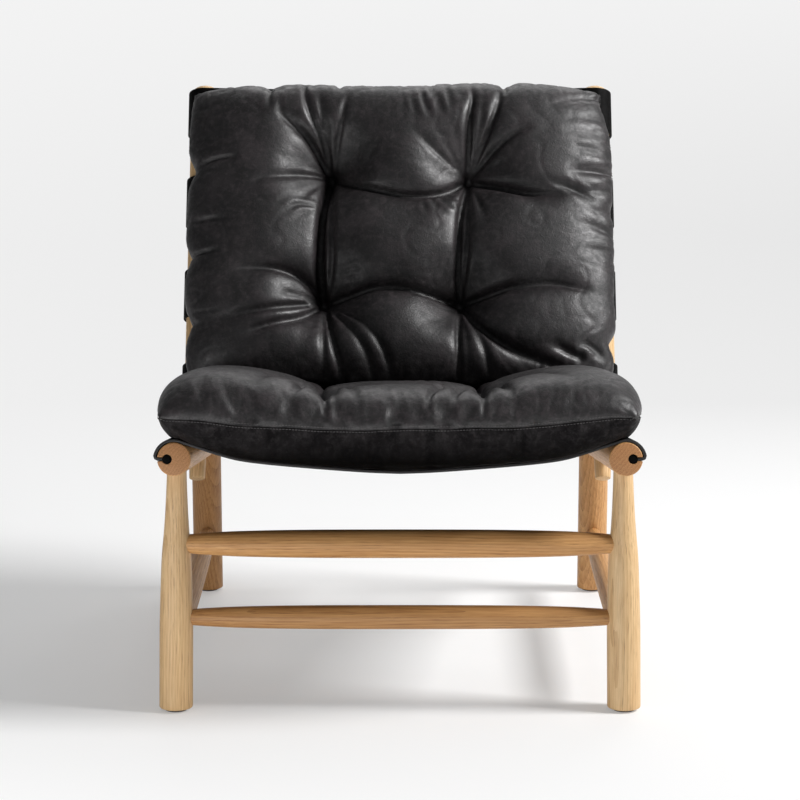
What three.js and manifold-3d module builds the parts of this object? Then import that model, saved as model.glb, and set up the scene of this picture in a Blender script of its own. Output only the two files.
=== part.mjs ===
// A low lounge chair: a turned oak frame, a leather seat sling hung from two rails,
// a leather back sling tied to two raked posts, and two loose tufted leather cushions.
//
// Millimetres, +Z up. X runs across the chair, +X to the right of someone who faces it,
// and the chair faces -Y. Y is measured from the front faces of the seat rails until the
// last lines, which centre the chair over the origin. The floor is Z = 0.

import * as THREE from 'three';
import { mergeVertices } from 'three/addons/utils/BufferGeometryUtils.js';
import Module from 'manifold-3d';

const wasm = await Module();
wasm.setup();

// Clearances
const fitGap = 0.3;
const overrun = 60; // how far a cutting shape runs past what it cuts

// Stance of the frame
const railSpacing = 604; // between the centre lines of the rails
const footSpacing = 616; // between the centres of two feet
const railFrontHeight = 361.7;
const seatTilt = THREE.MathUtils.degToRad(9);
const backRecline = THREE.MathUtils.degToRad(28);
const frontLegSetback = 50;
const rearFootSetback = 716;
const postSetback = 444; // along the rail, from its front face to the post
const braceReach = 337; // along the post, from the rail to the rear leg's axis

// Seat rails
const railRadius = 22.5;
const railNeckRadius = 15;
const railFullLength = 505; // along the rail, before it slims towards the rear leg
const railChamfer = 2;
const channelRadius = 6.6;
const channelOffset = 9.5; // from the rail's centre line, outwards
const channelEndGap = 4; // from the end of the sling's hem to the end of its channel

// Legs
const legRadius = 23;
const frontNeckRadius = 13;
const rearNeckRadius = 14.5;
const legChamfer = 2;
const legTenonRadius = 10.5;
const legTenonDepth = 13;
const railTenonRadius = 9;
const railTenonDepth = 16;
const braceTenonRadius = 7.5;
const braceTenonDepth = 15;

// Foot glides
const glideRadius = 15.3;
const glideHeight = 3.5;
const glideRim = 0.8;
const glideStemRadius = 2.5;
const glideStemLength = 12;

// Back posts
const postRadius = 21.7;
const postNeckRadius = 14.4;
const postTipRadius = 11.6;
const postHeight = 580; // along the post, above the rail's centre line
const postTailLength = 52; // along the post, below the rail's centre line
const postNeckLength = 26;
const postTaperLength = 70;
const postDomeLength = 13;
const postTipChamfer = 1.2;

// Stretchers and the rails behind the back sling
const upperStretcherHeight = 234;
const upperStretcherRadius = 19.5;
const upperStretcherEndRadius = 10.8;
const lowerStretcherHeight = 131;
const lowerStretcherRadius = 16.5;
const lowerStretcherEndRadius = 8.6;
const sideStretcherHeight = 100;
const sideStretcherRadius = 16.8;
const sideStretcherEndRadius = 8.6;
const rearStretcherHeight = 286;
const rearStretcherRadius = 15;
const rearStretcherEndRadius = 9;
const backRailRadius = 12;
const backRailEndRadius = 9;
const backRailSetback = 5; // behind the posts' centre lines
const stretcherTenonDepth = 15;
const stretcherTenonInset = 2.2; // a tenon is this much slimmer than its spindle's end

// Seat sling and the rods in its hems
const seatLeather = 4.2;
const rodRadius = 1.8;
const slingFrontSetback = 2;
const slingRearGap = 40; // from its rear edge to the posts' centre lines
const slingDrop = 41.2; // from where the leather leaves a rail to the middle of the seat
const slingStandoff = 1.2; // how far the leather stands off the rail beside its slot
const slingTurnRadius = 4;
const slingLeaveAngle = THREE.MathUtils.degToRad(19);
const rodEndInset = 3;

// Back sling and its rivets
const backLeather = 3.8;
const backSlingSag = 9;
const tabCount = 4;
const tabWidth = 67;
const tabPitch = 150;
const lowestTabCentre = 86;
const notchDepth = 52;
const notchFlare = 10;
const tabTailReach = 46;
const tabTailLength = 40;
const tabTailGap = 0.4;
const tabWrapAngle = THREE.MathUtils.degToRad(60); // past the back of the post
const rivetRadius = 2;
const rivetHeadRadius = 5;
const rivetHeadHeight = 1.8;
const rivetSpread = 36;

// Seat cushion, along the rails
const seatSideOverhang = 27; // outside the rails' centre lines
const seatOverhang = 46; // in front of the rails
const seatRearGap = 4; // from its rear end to the posts' centre lines
const seatSeamHeight = 40; // above the rails' centre lines
const seatSeamRise = 17;
const seatCrown = 59;
const seatUnderCrown = 66;
const seatTuftHalfSpacing = 107;
const seatTuftRowPitch = 165;
const seatTuftDepth = 50;
const seatCreaseDepth = 17;

// Back cushion, along the posts
const backSideOverhang = 20; // outside the posts' centre lines
const backCushionStart = 66; // along the posts, from the rails
const backCushionLength = 486;
const backSeamHeight = 46; // in front of the back sling
const backSeamRise = 0;
const backCrown = 62;
const backUnderCrown = 58;
const backTuftHalfSpacing = 104;
const backTuftRowPitch = 188;
const backTuftLowerRow = 134;
const backTuftDepth = 50;
const backCreaseDepth = 16;
const tuftRadius = 36;
const creaseRadius = 27;
const sideRoundness = 4; // powers: the higher, the blunter the cushions' sides and ends
const endRoundness = 6;

// Facet counts
const barFacets = 18;
const railFacets = 22;
const spindleFacets = 14;
const smallFacets = 10;
const rivetFacets = 6;
const wrapPoints = 17;
const cushionColumns = 24;
const cushionRows = 20;

// Taper tables: how far along a leg or spindle, then how far from its wide to its slim radius
const frontLegTaperShares = [
  [0.33, 0.01], [0.48, 0.12], [0.61, 0.28], [0.71, 0.58], [0.84, 0.83], [1, 1],
];
const rearLegTaperShares = [
  [0.5, 0.01], [0.62, 0.15], [0.75, 0.5], [0.88, 0.85], [1, 1],
];
const railTaperShares = [[0, 0], [0.2, 0.06], [0.45, 0.4], [0.7, 0.8], [1, 1]];
const postTaperShares = [[0, 0], [0.28, 0.42], [0.52, 0.74], [0.76, 0.93], [1, 1]];
const domeShares = [[0, 1], [0.45, 0.93], [0.8, 0.72], [1, 0.4]];
const spindleSwellShares = [
  [0, 0], [0.07, 0.3], [0.17, 0.56], [0.32, 0.79], [0.6, 0.96], [1, 1],
];
// How far in from a rail, then how much of its drop the seat sling has made there
const slingDropShares = [
  [0.05, 0.12], [0.1, 0.235], [0.18, 0.42], [0.275, 0.59], [0.42, 0.72], [0.65, 0.86], [0.85, 0.96], [1, 1],
];
// Where the back sling's middle line has its points, from the middle of the chair to a post
const panelWidthShares = [0, 0.3, 0.6, 0.72, 0.86];
const cornerShare = 0.035;
const drawnInShare = 0.012;
const seatSideFullnessShare = 0.85;
const backSideFullnessShare = 0.06;
const rearSquashShare = 0.16;

// Materials
const oak = new THREE.MeshStandardMaterial({ color: 0xd8b483, roughness: 0.55, metalness: 0 });
const hide = new THREE.MeshStandardMaterial({ color: 0x242324, roughness: 0.5, metalness: 0 });
const steel = new THREE.MeshStandardMaterial({ color: 0x8d8a86, roughness: 0.35, metalness: 1 });
const plastic = new THREE.MeshStandardMaterial({ color: 0x3d3c3b, roughness: 0.7, metalness: 0 });

// The chair and its two sloping frames: the seat frame's Y runs back along the rails,
// and the back frame's Z runs up along the posts
const chair = new THREE.Group();
const seatFrame = new THREE.Group();
seatFrame.position.z = railFrontHeight;
seatFrame.rotation.x = -seatTilt;
const backFrame = new THREE.Group();
backFrame.position.y = postSetback * Math.cos(seatTilt);
backFrame.position.z = railFrontHeight - postSetback * Math.sin(seatTilt);
backFrame.rotation.x = -backRecline;
chair.add(seatFrame, backFrame);
chair.updateMatrixWorld(true);

const sides = { left: -1, right: 1 };
const railX = railSpacing / 2;
const slingLength = postSetback - slingRearGap - slingFrontSetback;
const channelLength = slingFrontSetback + slingLength + channelEndGap;
const seatLength = seatOverhang + postSetback - seatRearGap;
const seatHalfWidth = railX + seatSideOverhang;
const backHalfWidth = railX + backSideOverhang;
const footX = footSpacing / 2;

// Solids, cuts and joins

function solidFrom(geometry) {
  const bare = geometry.clone();
  bare.deleteAttribute('normal');
  bare.deleteAttribute('uv');
  const merged = mergeVertices(bare);
  const vertProperties = new Float32Array(merged.attributes.position.array);
  const triVerts = new Uint32Array(merged.index.array);
  return new wasm.Manifold(new wasm.Mesh({ numProp: 3, vertProperties, triVerts }));
}

function geometryFrom(solid) {
  const mesh = solid.getMesh();
  const geometry = new THREE.BufferGeometry();
  geometry.setAttribute('position', new THREE.BufferAttribute(new Float32Array(mesh.vertProperties), 3));
  geometry.setIndex(new THREE.BufferAttribute(new Uint32Array(mesh.triVerts), 1));
  geometry.computeVertexNormals();
  return geometry;
}

// Cuts or joins shapes that are given in the chair's own space
function reshape(mesh, shapes, operation) {
  mesh.updateWorldMatrix(true, false);
  const toMesh = mesh.matrixWorld.clone().invert();
  let body = solidFrom(mesh.geometry);
  for (const shape of shapes) {
    body = operation(body, solidFrom(shape.clone().applyMatrix4(toMesh)));
  }
  mesh.geometry = geometryFrom(body);
}

function cut(mesh, ...shapes) {
  reshape(mesh, shapes, (body, shape) => body.subtract(shape));
}

function join(mesh, ...shapes) {
  reshape(mesh, shapes, (body, shape) => body.add(shape));
}

function addPiece(group, name, geometry, material) {
  const mesh = new THREE.Mesh(geometry, material);
  mesh.name = name;
  group.add(mesh);
  return mesh;
}

// A turned body on the Z axis from pairs of radius and height, lowest first
function turned(profile, facets) {
  const points = profile.map(([radius, height]) => new THREE.Vector2(radius, height));
  return new THREE.LatheGeometry(points, facets).rotateX(Math.PI / 2);
}

// Turns and moves a shape on the Z axis so that it runs from one point towards another
function aimed(geometry, start, end) {
  const direction = end.clone().sub(start).normalize();
  const turn = new THREE.Quaternion().setFromUnitVectors(new THREE.Vector3(0, 0, 1), direction);
  return geometry.applyQuaternion(turn).translate(start.x, start.y, start.z);
}

function roundBar(start, end, radius, facets = smallFacets) {
  const length = start.distanceTo(end);
  return aimed(turned([[0, 0], [radius, 0], [radius, length], [0, length]], facets), start, end);
}

function beyond(start, end, distance) {
  return end.clone().add(end.clone().sub(start).setLength(distance));
}

// A round tenon on one piece, and the bore for it in the other
function tenonJoint(tenoned, bored, start, tip, radius) {
  join(tenoned, roundBar(start, tip, radius));
  cut(bored, roundBar(start, beyond(start, tip, fitGap), radius + fitGap));
}

// Legs stand on flat feet, so they lean by a shear and not by a turn

const footLevel = glideHeight + fitGap;

function seatPoint(x, along, up) {
  return seatFrame.localToWorld(new THREE.Vector3(x, along, up));
}

function backPoint(x, behind, along) {
  return backFrame.localToWorld(new THREE.Vector3(x, behind, along));
}

const frontLegAlong = frontLegSetback / Math.cos(seatTilt);
const legs = {
  front: {
    footY: frontLegSetback,
    top: seatPoint(railX, frontLegAlong, 0),
    neckRadius: frontNeckRadius,
    taper: frontLegTaperShares,
  },
  rear: {
    footY: rearFootSetback,
    top: backPoint(railX, 0, braceReach),
    neckRadius: rearNeckRadius,
    taper: rearLegTaperShares,
  },
};

// The middle of a leg at a height
function legAxis(leg, side, height) {
  const share = height / leg.top.z;
  const x = footX + (leg.top.x - footX) * share;
  const y = leg.footY + (leg.top.y - leg.footY) * share;
  return new THREE.Vector3(side * x, y, height);
}

function legShape(leg, side, extra = 0) {
  const profile = [[0, footLevel], [legRadius - legChamfer + extra, footLevel]];
  profile.push([legRadius + extra, footLevel + legChamfer]);
  for (const [heightShare, taperShare] of leg.taper) {
    const radius = legRadius + (leg.neckRadius - legRadius) * taperShare;
    profile.push([radius + extra, leg.top.z * heightShare]);
  }
  profile.push([0, leg.top.z]);
  const leanX = (side * (leg.top.x - footX)) / leg.top.z;
  const leanY = (leg.top.y - leg.footY) / leg.top.z;
  const lean = new THREE.Matrix4().set(1, 0, leanX, 0, 0, 1, leanY, 0, 0, 0, 1, 0, 0, 0, 0, 1);
  return turned(profile, barFacets).applyMatrix4(lean).translate(side * footX, leg.footY, 0);
}

// Rails run along the seat frame's Y

function railEnd() {
  // Where the rail's centre line meets the rear leg's, along the rail
  const slope = (legs.rear.top.y - legs.rear.footY) / legs.rear.top.z;
  const height = railFrontHeight - rearFootSetback * Math.tan(seatTilt);
  return (rearFootSetback + (slope * height) / (1 + slope * Math.tan(seatTilt))) / Math.cos(seatTilt);
}

const railLength = railEnd();

function railShape(side, extra = 0) {
  const profile = [[0, 0], [railRadius - railChamfer + extra, 0], [railRadius + extra, railChamfer]];
  for (const [lengthShare, taperShare] of railTaperShares) {
    const radius = railRadius + (railNeckRadius - railRadius) * taperShare;
    profile.push([radius + extra, railFullLength + (railLength - railFullLength) * lengthShare]);
  }
  profile.push([0, railLength]);
  const shape = turned(profile, railFacets);
  return aimed(shape, seatPoint(side * railX, 0, 0), seatPoint(side * railX, railLength, 0));
}

// The hem's round channel and the slot that opens it to the outside of the rail
function channelShapes(side) {
  const x = side * (railX + channelOffset);
  const channel = roundBar(seatPoint(x, -overrun, 0), seatPoint(x, channelLength, 0), channelRadius, spindleFacets);
  const slotWidth = railRadius + overrun - channelOffset;
  const slotHeight = seatLeather + 4 * fitGap;
  const slot = new THREE.BoxGeometry(slotWidth, channelLength + overrun, slotHeight);
  slot.translate(x + (side * slotWidth) / 2, (channelLength - overrun) / 2, 0);
  return [channel, slot.applyMatrix4(seatFrame.matrixWorld)];
}

// Posts run along the back frame's Z

function postShape(side, extra = 0) {
  const profile = [[0, -postTailLength], [postTipRadius - postTipChamfer + extra, -postTailLength]];
  profile.push([postTipRadius + extra, postTipChamfer - postTailLength]);
  for (const [lengthShare, swellShare] of postTaperShares) {
    const radius = postNeckRadius + (postRadius - postNeckRadius) * swellShare;
    profile.push([radius + extra, postNeckLength + postTaperLength * lengthShare]);
  }
  for (const [lengthShare, radiusShare] of domeShares) {
    profile.push([postRadius * radiusShare + extra, postHeight - postDomeLength * (1 - lengthShare)]);
  }
  profile.push([0, postHeight]);
  return turned(profile, barFacets).translate(side * railX, 0, 0).applyMatrix4(backFrame.matrixWorld);
}

// Spindles swell from both ends to the middle

function spindleShape(start, end, endRadius, middleRadius) {
  const length = start.distanceTo(end);
  const rows = spindleSwellShares.map(([lengthShare, swellShare]) => {
    const radius = endRadius + (middleRadius - endRadius) * swellShare;
    return [radius, (length / 2) * lengthShare];
  });
  const mirrored = rows.slice(0, -1).reverse().map(([radius, height]) => [radius, length - height]);
  return aimed(turned([[0, 0], ...rows, ...mirrored, [0, length]], spindleFacets), start, end);
}

function addSpindle(name, ends, endRadius, middleRadius) {
  // Each end holds the axis point inside the piece that it joins, that piece and its outer shape
  const [first, last] = ends;
  const spindle = addPiece(chair, name, spindleShape(first.at, last.at, endRadius, middleRadius), oak);
  cut(spindle, first.shape, last.shape);
  const middle = first.at.clone().lerp(last.at, 0.5);
  for (const { at, piece, radius } of ends) {
    const tip = beyond(middle, at, stretcherTenonDepth - radius);
    tenonJoint(spindle, piece, middle, tip, endRadius - stretcherTenonInset);
  }
  return spindle;
}

// The frame

const frame = {};

function addFrameSide(sideName) {
  const side = sides[sideName];
  const frontLeg = addPiece(chair, `front_leg_${sideName}`, legShape(legs.front, side), oak);
  const rearLeg = addPiece(chair, `rear_leg_${sideName}`, legShape(legs.rear, side), oak);
  const rail = addPiece(chair, `seat_rail_${sideName}`, railShape(side), oak);
  const post = addPiece(chair, `back_post_${sideName}`, postShape(side), oak);

  cut(frontLeg, railShape(side, fitGap));
  cut(rearLeg, postShape(side, fitGap));
  cut(rail, legShape(legs.rear, side, fitGap), postShape(side, fitGap), ...channelShapes(side));

  const frontStart = legAxis(legs.front, side, legs.front.top.z - overrun);
  const frontTop = legAxis(legs.front, side, legs.front.top.z);
  const frontTip = beyond(frontStart, frontTop, legTenonDepth - railRadius);
  tenonJoint(frontLeg, rail, frontStart, frontTip, legTenonRadius);

  const braceStart = legAxis(legs.rear, side, legs.rear.top.z - overrun - postRadius);
  const braceTop = legAxis(legs.rear, side, legs.rear.top.z);
  const braceTip = beyond(braceStart, braceTop, braceTenonDepth - postRadius);
  tenonJoint(rearLeg, post, braceStart, braceTip, braceTenonRadius);

  const railStart = seatPoint(side * railX, railLength - overrun, 0);
  const railTip = seatPoint(side * railX, railLength - legRadius + railTenonDepth, 0);
  tenonJoint(rail, rearLeg, railStart, railTip, railTenonRadius);
  frame[sideName] = { frontLeg, rearLeg, rail, post };
}

function legEnd(leg, piece, side, height) {
  return { at: legAxis(leg, side, height), piece, shape: legShape(leg, side, fitGap), radius: legRadius };
}

function addStretchers() {
  const { left, right } = frame;
  const frontEnds = (height) => [
    legEnd(legs.front, left.frontLeg, sides.left, height),
    legEnd(legs.front, right.frontLeg, sides.right, height),
  ];
  addSpindle(
    'front_stretcher_upper', frontEnds(upperStretcherHeight), upperStretcherEndRadius, upperStretcherRadius,
  );
  addSpindle(
    'front_stretcher_lower', frontEnds(lowerStretcherHeight), lowerStretcherEndRadius, lowerStretcherRadius,
  );
  const rearEnds = [
    legEnd(legs.rear, left.rearLeg, sides.left, rearStretcherHeight),
    legEnd(legs.rear, right.rearLeg, sides.right, rearStretcherHeight),
  ];
  addSpindle('rear_stretcher', rearEnds, rearStretcherEndRadius, rearStretcherRadius);
  for (const [sideName, side] of Object.entries(sides)) {
    const pieces = frame[sideName];
    const ends = [
      legEnd(legs.front, pieces.frontLeg, side, sideStretcherHeight),
      legEnd(legs.rear, pieces.rearLeg, side, sideStretcherHeight),
    ];
    addSpindle(`side_stretcher_${sideName}`, ends, sideStretcherEndRadius, sideStretcherRadius);
  }
}

function addBackRails() {
  const firstGap = lowestTabCentre + tabPitch / 2;
  const lastGap = lowestTabCentre + tabPitch * (tabCount - 1) - tabPitch / 2;
  const heights = { back_rail_lower: firstGap, back_rail_upper: lastGap };
  for (const [name, along] of Object.entries(heights)) {
    const ends = Object.entries(sides).map(([sideName, side]) => ({
      at: backPoint(side * railX, backRailSetback, along),
      piece: frame[sideName].post,
      shape: postShape(side, fitGap),
      radius: postRadius,
    }));
    addSpindle(name, ends, backRailEndRadius, backRailRadius);
  }
}

// A glide under each foot, on a stem that is pressed up into the leg
function addGlide(sideName, end) {
  const leg = legs[end];
  const side = sides[sideName];
  const stemTop = glideHeight + glideStemLength;
  const profile = [
    [0, 0], [glideRadius - glideRim, 0], [glideRadius, glideRim], [glideRadius, glideHeight],
    [glideStemRadius, glideHeight], [glideStemRadius, stemTop], [0, stemTop],
  ];
  const glide = addPiece(chair, `${end}_glide_${sideName}`, turned(profile, spindleFacets), plastic);
  glide.position.set(side * footX, leg.footY, 0);
  const foot = new THREE.Vector3(side * footX, leg.footY, 0);
  const boreTop = foot.clone().setZ(stemTop + fitGap);
  cut(frame[sideName][`${end}Leg`], roundBar(foot, boreTop, glideStemRadius + 2 * fitGap, spindleFacets));
}

// A strip of leather: its middle line and thickness give an outline

function stripSides(path, thickness) {
  const over = [];
  const under = [];
  path.forEach((point, index) => {
    const before = path[Math.max(index - 1, 0)];
    const after = path[Math.min(index + 1, path.length - 1)];
    const along = after.clone().sub(before).normalize();
    const across = new THREE.Vector2(-along.y, along.x);
    over.push(point.clone().addScaledVector(across, thickness / 2));
    under.push(point.clone().addScaledVector(across, -thickness / 2));
  });
  return { over, under };
}

function mirrorPath(half) {
  // The half runs from the middle out to the right, and its first point is on the middle line
  const left = half.slice(1).reverse().map((point) => new THREE.Vector2(-point.x, point.y));
  return [...left, ...half];
}

function arcPoints(centre, radius, startAngle, endAngle, count) {
  return Array.from({ length: count }, (_, index) => {
    const angle = startAngle + ((endAngle - startAngle) * index) / (count - 1);
    return new THREE.Vector2(centre.x + radius * Math.cos(angle), centre.y + radius * Math.sin(angle));
  });
}

// Seat sling, in the seat frame's X and Z: over each rail, round its outside and into its channel

const wrapRadius = railRadius + fitGap + seatLeather / 2;
const beadRadius = channelRadius - fitGap;
const beadX = railX + channelOffset;

function seatSlingTop() {
  // From the middle of the seat to the top of the rail
  const leave = new THREE.Vector2(
    railX - wrapRadius * Math.sin(slingLeaveAngle), wrapRadius * Math.cos(slingLeaveAngle),
  );
  const sag = slingDropShares.map(([inShare, dropShare]) => (
    new THREE.Vector2(leave.x * (1 - inShare), leave.y - slingDrop * dropShare)
  ));
  return [...sag.reverse(), leave];
}

function seatSlingHalf() {
  const wrap = [];
  const steps = 9;
  const wrapEnd = Math.asin(slingTurnRadius / wrapRadius);
  const wrapStart = Math.PI / 2 + slingLeaveAngle;
  for (let step = 1; step <= steps; step += 1) {
    const angle = wrapStart + ((wrapEnd - wrapStart) * step) / steps;
    const radius = wrapRadius + (slingStandoff * step) / steps;
    wrap.push(new THREE.Vector2(railX + radius * Math.cos(angle), radius * Math.sin(angle)));
  }
  const turnX = wrap[wrap.length - 1].x - slingTurnRadius;
  const turn = arcPoints(new THREE.Vector2(turnX, slingTurnRadius), slingTurnRadius, 0, -Math.PI / 2, 5);
  return [...seatSlingTop(), ...wrap, ...turn.slice(1), new THREE.Vector2(beadX + beadRadius, 0)];
}

function addSeatSling() {
  const { over, under } = stripSides(mirrorPath(seatSlingHalf()), seatLeather);
  const opening = Math.asin(seatLeather / 2 / beadRadius);
  const rightBead = new THREE.Vector2(beadX, 0);
  const leftBead = new THREE.Vector2(-beadX, 0);
  const beadSteps = 12;
  // The strip's last points lie inside the beads, so the beads' arcs take their place
  const outline = [
    ...over.slice(1, -1),
    ...arcPoints(rightBead, beadRadius, -opening, opening - 2 * Math.PI, beadSteps),
    ...under.slice(1, -1).reverse(),
    ...arcPoints(leftBead, beadRadius, Math.PI - opening, opening - Math.PI, beadSteps),
  ];
  const shape = new THREE.Shape(outline);
  for (const bead of [rightBead, leftBead]) {
    const bore = arcPoints(bead, rodRadius + 2 * fitGap, 0, 2 * Math.PI, rivetFacets + 1);
    shape.holes.push(new THREE.Path(bore.slice(1)));
  }
  const geometry = new THREE.ExtrudeGeometry(shape, { depth: slingLength, bevelEnabled: false });
  geometry.rotateX(Math.PI / 2).translate(0, slingFrontSetback + slingLength, 0);
  addPiece(seatFrame, 'seat_sling', geometry, hide);
}

function addSlingRods() {
  for (const [sideName, side] of Object.entries(sides)) {
    const length = slingLength - 2 * rodEndInset;
    const profile = [[0, 0], [rodRadius, 0], [rodRadius, length], [0, length]];
    const rod = addPiece(seatFrame, `sling_rod_${sideName}`, turned(profile, rivetFacets), steel);
    rod.rotation.x = -Math.PI / 2;
    rod.position.set(side * beadX, slingFrontSetback + rodEndInset, 0);
  }
}

// Back sling, in the back frame's X and Y: across the posts' fronts, round them, and back on itself

const tabRadius = postRadius + fitGap + backLeather / 2;

function panelY(x) {
  const share = x / railX;
  return backSlingSag * (1 - share * share) - tabRadius;
}

function backSlingHalf() {
  const post = new THREE.Vector2(railX, 0);
  const panel = panelWidthShares.map((share) => (
    new THREE.Vector2(railX * share, panelY(railX * share))
  ));
  const wrap = arcPoints(post, tabRadius, -Math.PI / 2, Math.PI / 2 + tabWrapAngle, wrapPoints);
  const layerStep = backLeather + tabTailGap;
  const tailStart = railX - tabTailReach;
  const tail = [0, 0.5, 1].map((share) => {
    const x = tailStart - tabTailLength * share;
    return new THREE.Vector2(x, panelY(x) + layerStep);
  });
  return [...panel, ...wrap, ...tail];
}

const tabCentres = Array.from({ length: tabCount }, (_, index) => lowestTabCentre + tabPitch * index);

// The outline, across X and along the post, of what is cut away between two tabs
function notchShape(side, from, to) {
  const inner = railX - notchDepth;
  const outer = railX + postRadius + overrun;
  const flare = notchFlare;
  const shape = new THREE.Shape([
    new THREE.Vector2(side * inner, from + flare), new THREE.Vector2(side * outer, from),
    new THREE.Vector2(side * outer, to), new THREE.Vector2(side * inner, to - flare),
  ]);
  const depth = 2 * (postRadius + overrun);
  const geometry = new THREE.ExtrudeGeometry(shape, { depth, bevelEnabled: false });
  geometry.rotateX(Math.PI / 2).translate(0, depth / 2, 0);
  return geometry.applyMatrix4(backFrame.matrixWorld);
}

const rivetX = railX - tabTailReach - tabTailLength / 2;

function rivetSpots(side) {
  return tabCentres.flatMap((centre) => [-1, 1].map((end) => ({
    x: side * rivetX,
    along: centre + (end * rivetSpread) / 2,
  })));
}

function addBackSling() {
  const { over, under } = stripSides(mirrorPath(backSlingHalf()), backLeather);
  const shape = new THREE.Shape([...over, ...under.reverse()]);
  const height = tabPitch * (tabCount - 1) + tabWidth;
  const geometry = new THREE.ExtrudeGeometry(shape, { depth: height, bevelEnabled: false });
  const sling = addPiece(backFrame, 'back_sling', geometry, hide);
  sling.position.z = lowestTabCentre - tabWidth / 2;
  const cuts = [];
  for (const side of Object.values(sides)) {
    for (const centre of tabCentres.slice(0, -1)) {
      cuts.push(notchShape(side, centre + tabWidth / 2, centre + tabPitch - tabWidth / 2));
    }
    for (const { x, along } of rivetSpots(side)) {
      const start = backPoint(x, -tabRadius - overrun, along);
      const end = backPoint(x, backRailSetback, along);
      cuts.push(roundBar(start, end, rivetRadius + fitGap, rivetFacets));
    }
  }
  cut(sling, ...cuts);
}

function addRivets() {
  const front = panelY(rivetX) - backLeather / 2;
  const back = front + 2 * backLeather + tabTailGap + fitGap;
  const profile = [
    [0, 0], [rivetRadius, 0], [rivetRadius, back - front],
    [rivetHeadRadius, back - front], [rivetHeadRadius / 2, back - front + rivetHeadHeight],
    [0, back - front + rivetHeadHeight],
  ];
  for (const [sideName, side] of Object.entries(sides)) {
    rivetSpots(side).forEach(({ x, along }, index) => {
      const geometry = turned(profile, rivetFacets);
      const rivet = addPiece(backFrame, `back_rivet_${sideName}_${index + 1}`, geometry, steel);
      rivet.rotation.x = -Math.PI / 2;
      rivet.position.set(x, front, along);
    });
  }
}

// Cushions: a crowned closed form with sides drawn in between its corners and four sewn tufts.
// X runs across, Y along from its start, and Z up from the seam.

function cushionShape(size) {
  const ease = (share) => Math.sin((Math.PI / 2) * share);
  const edge = (value, power) => Math.sqrt(Math.max(1 - Math.abs(value) ** power, 0));
  const dip = (distance, radius) => Math.exp(-((distance / radius) ** 2));

  function topHeight(u, v, x, y) {
    const crown = size.crown * (1 + size.sideFullness * u * u) * (1 - size.endSquash * Math.max(v, 0));
    let crease = 0;
    let tuft = 0;
    for (const tuftX of [-size.tuftHalfSpacing, size.tuftHalfSpacing]) {
      crease = Math.max(crease, dip(x - tuftX, creaseRadius));
      for (const tuftY of size.tuftRows) {
        crease = Math.max(crease, dip(y - tuftY, creaseRadius));
        tuft = Math.max(tuft, dip(Math.hypot(x - tuftX, y - tuftY), tuftRadius));
      }
    }
    return crown - size.creaseDepth * crease - (size.tuftDepth - size.creaseDepth) * tuft;
  }

  function vertex(column, row, face) {
    const u = ease((2 * column) / cushionColumns - 1);
    const v = ease((2 * row) / cushionRows - 1);
    const x = size.halfWidth * u * (1 - cornerShare * v ** 4) * (1 - drawnInShare * (1 - v * v) * u * u);
    const reach = v * (1 - cornerShare * u ** 4) * (1 - drawnInShare * (1 - u * u) * v * v);
    const y = (size.length / 2) * (1 + reach);
    const fullness = edge(u, sideRoundness) * edge(v, endRoundness);
    const height = face > 0 ? topHeight(u, v, x, y) : -size.underCrown;
    return [x, y + size.start, size.seam + size.seamRise * u * u + height * fullness];
  }

  const positions = [];
  const lookup = { 1: [], '-1': [] };
  for (const face of [1, -1]) {
    for (let row = 0; row <= cushionRows; row += 1) {
      for (let column = 0; column <= cushionColumns; column += 1) {
        const rim = row === 0 || row === cushionRows || column === 0 || column === cushionColumns;
        const place = row * (cushionColumns + 1) + column;
        if (face < 0 && rim) {
          lookup[face][place] = lookup[1][place];
        } else {
          lookup[face][place] = positions.length / 3;
          positions.push(...vertex(column, row, face));
        }
      }
    }
  }
  const indices = [];
  for (const face of [1, -1]) {
    for (let row = 0; row < cushionRows; row += 1) {
      for (let column = 0; column < cushionColumns; column += 1) {
        const corner = row * (cushionColumns + 1) + column;
        const quad = [corner, corner + 1, corner + cushionColumns + 2, corner + cushionColumns + 1];
        const [a, b, c, d] = quad.map((place) => lookup[face][place]);
        // Diagonals run from the cushion's corners inwards
        const rising = column < cushionColumns / 2 === row < cushionRows / 2;
        const triangles = rising ? [[a, b, c], [a, c, d]] : [[a, b, d], [b, c, d]];
        for (const triangle of triangles) {
          indices.push(...(face > 0 ? triangle : triangle.reverse()));
        }
      }
    }
  }
  const geometry = new THREE.BufferGeometry();
  geometry.setAttribute('position', new THREE.Float32BufferAttribute(positions, 3));
  geometry.setIndex(indices);
  return geometry;
}

// Everything under the top of the seat sling, for the cushion's underside to follow
function underSeatShape() {
  const { over } = stripSides(mirrorPath(seatSlingHalf()), seatLeather);
  const level = Math.max(...over.map((point) => point.y));
  const between = over.filter((point) => Math.abs(point.x) < railX).reverse();
  const outline = [
    new THREE.Vector2(-seatHalfWidth - overrun, -level - overrun),
    new THREE.Vector2(seatHalfWidth + overrun, -level - overrun),
    new THREE.Vector2(seatHalfWidth + overrun, level),
    new THREE.Vector2(railX, level), ...between, new THREE.Vector2(-railX, level),
    new THREE.Vector2(-seatHalfWidth - overrun, level),
  ];
  const depth = seatLength + 2 * overrun;
  const geometry = new THREE.ExtrudeGeometry(new THREE.Shape(outline), { depth, bevelEnabled: false });
  geometry.rotateX(Math.PI / 2).translate(0, seatLength + overrun - seatOverhang, fitGap);
  return geometry.applyMatrix4(seatFrame.matrixWorld);
}

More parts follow.
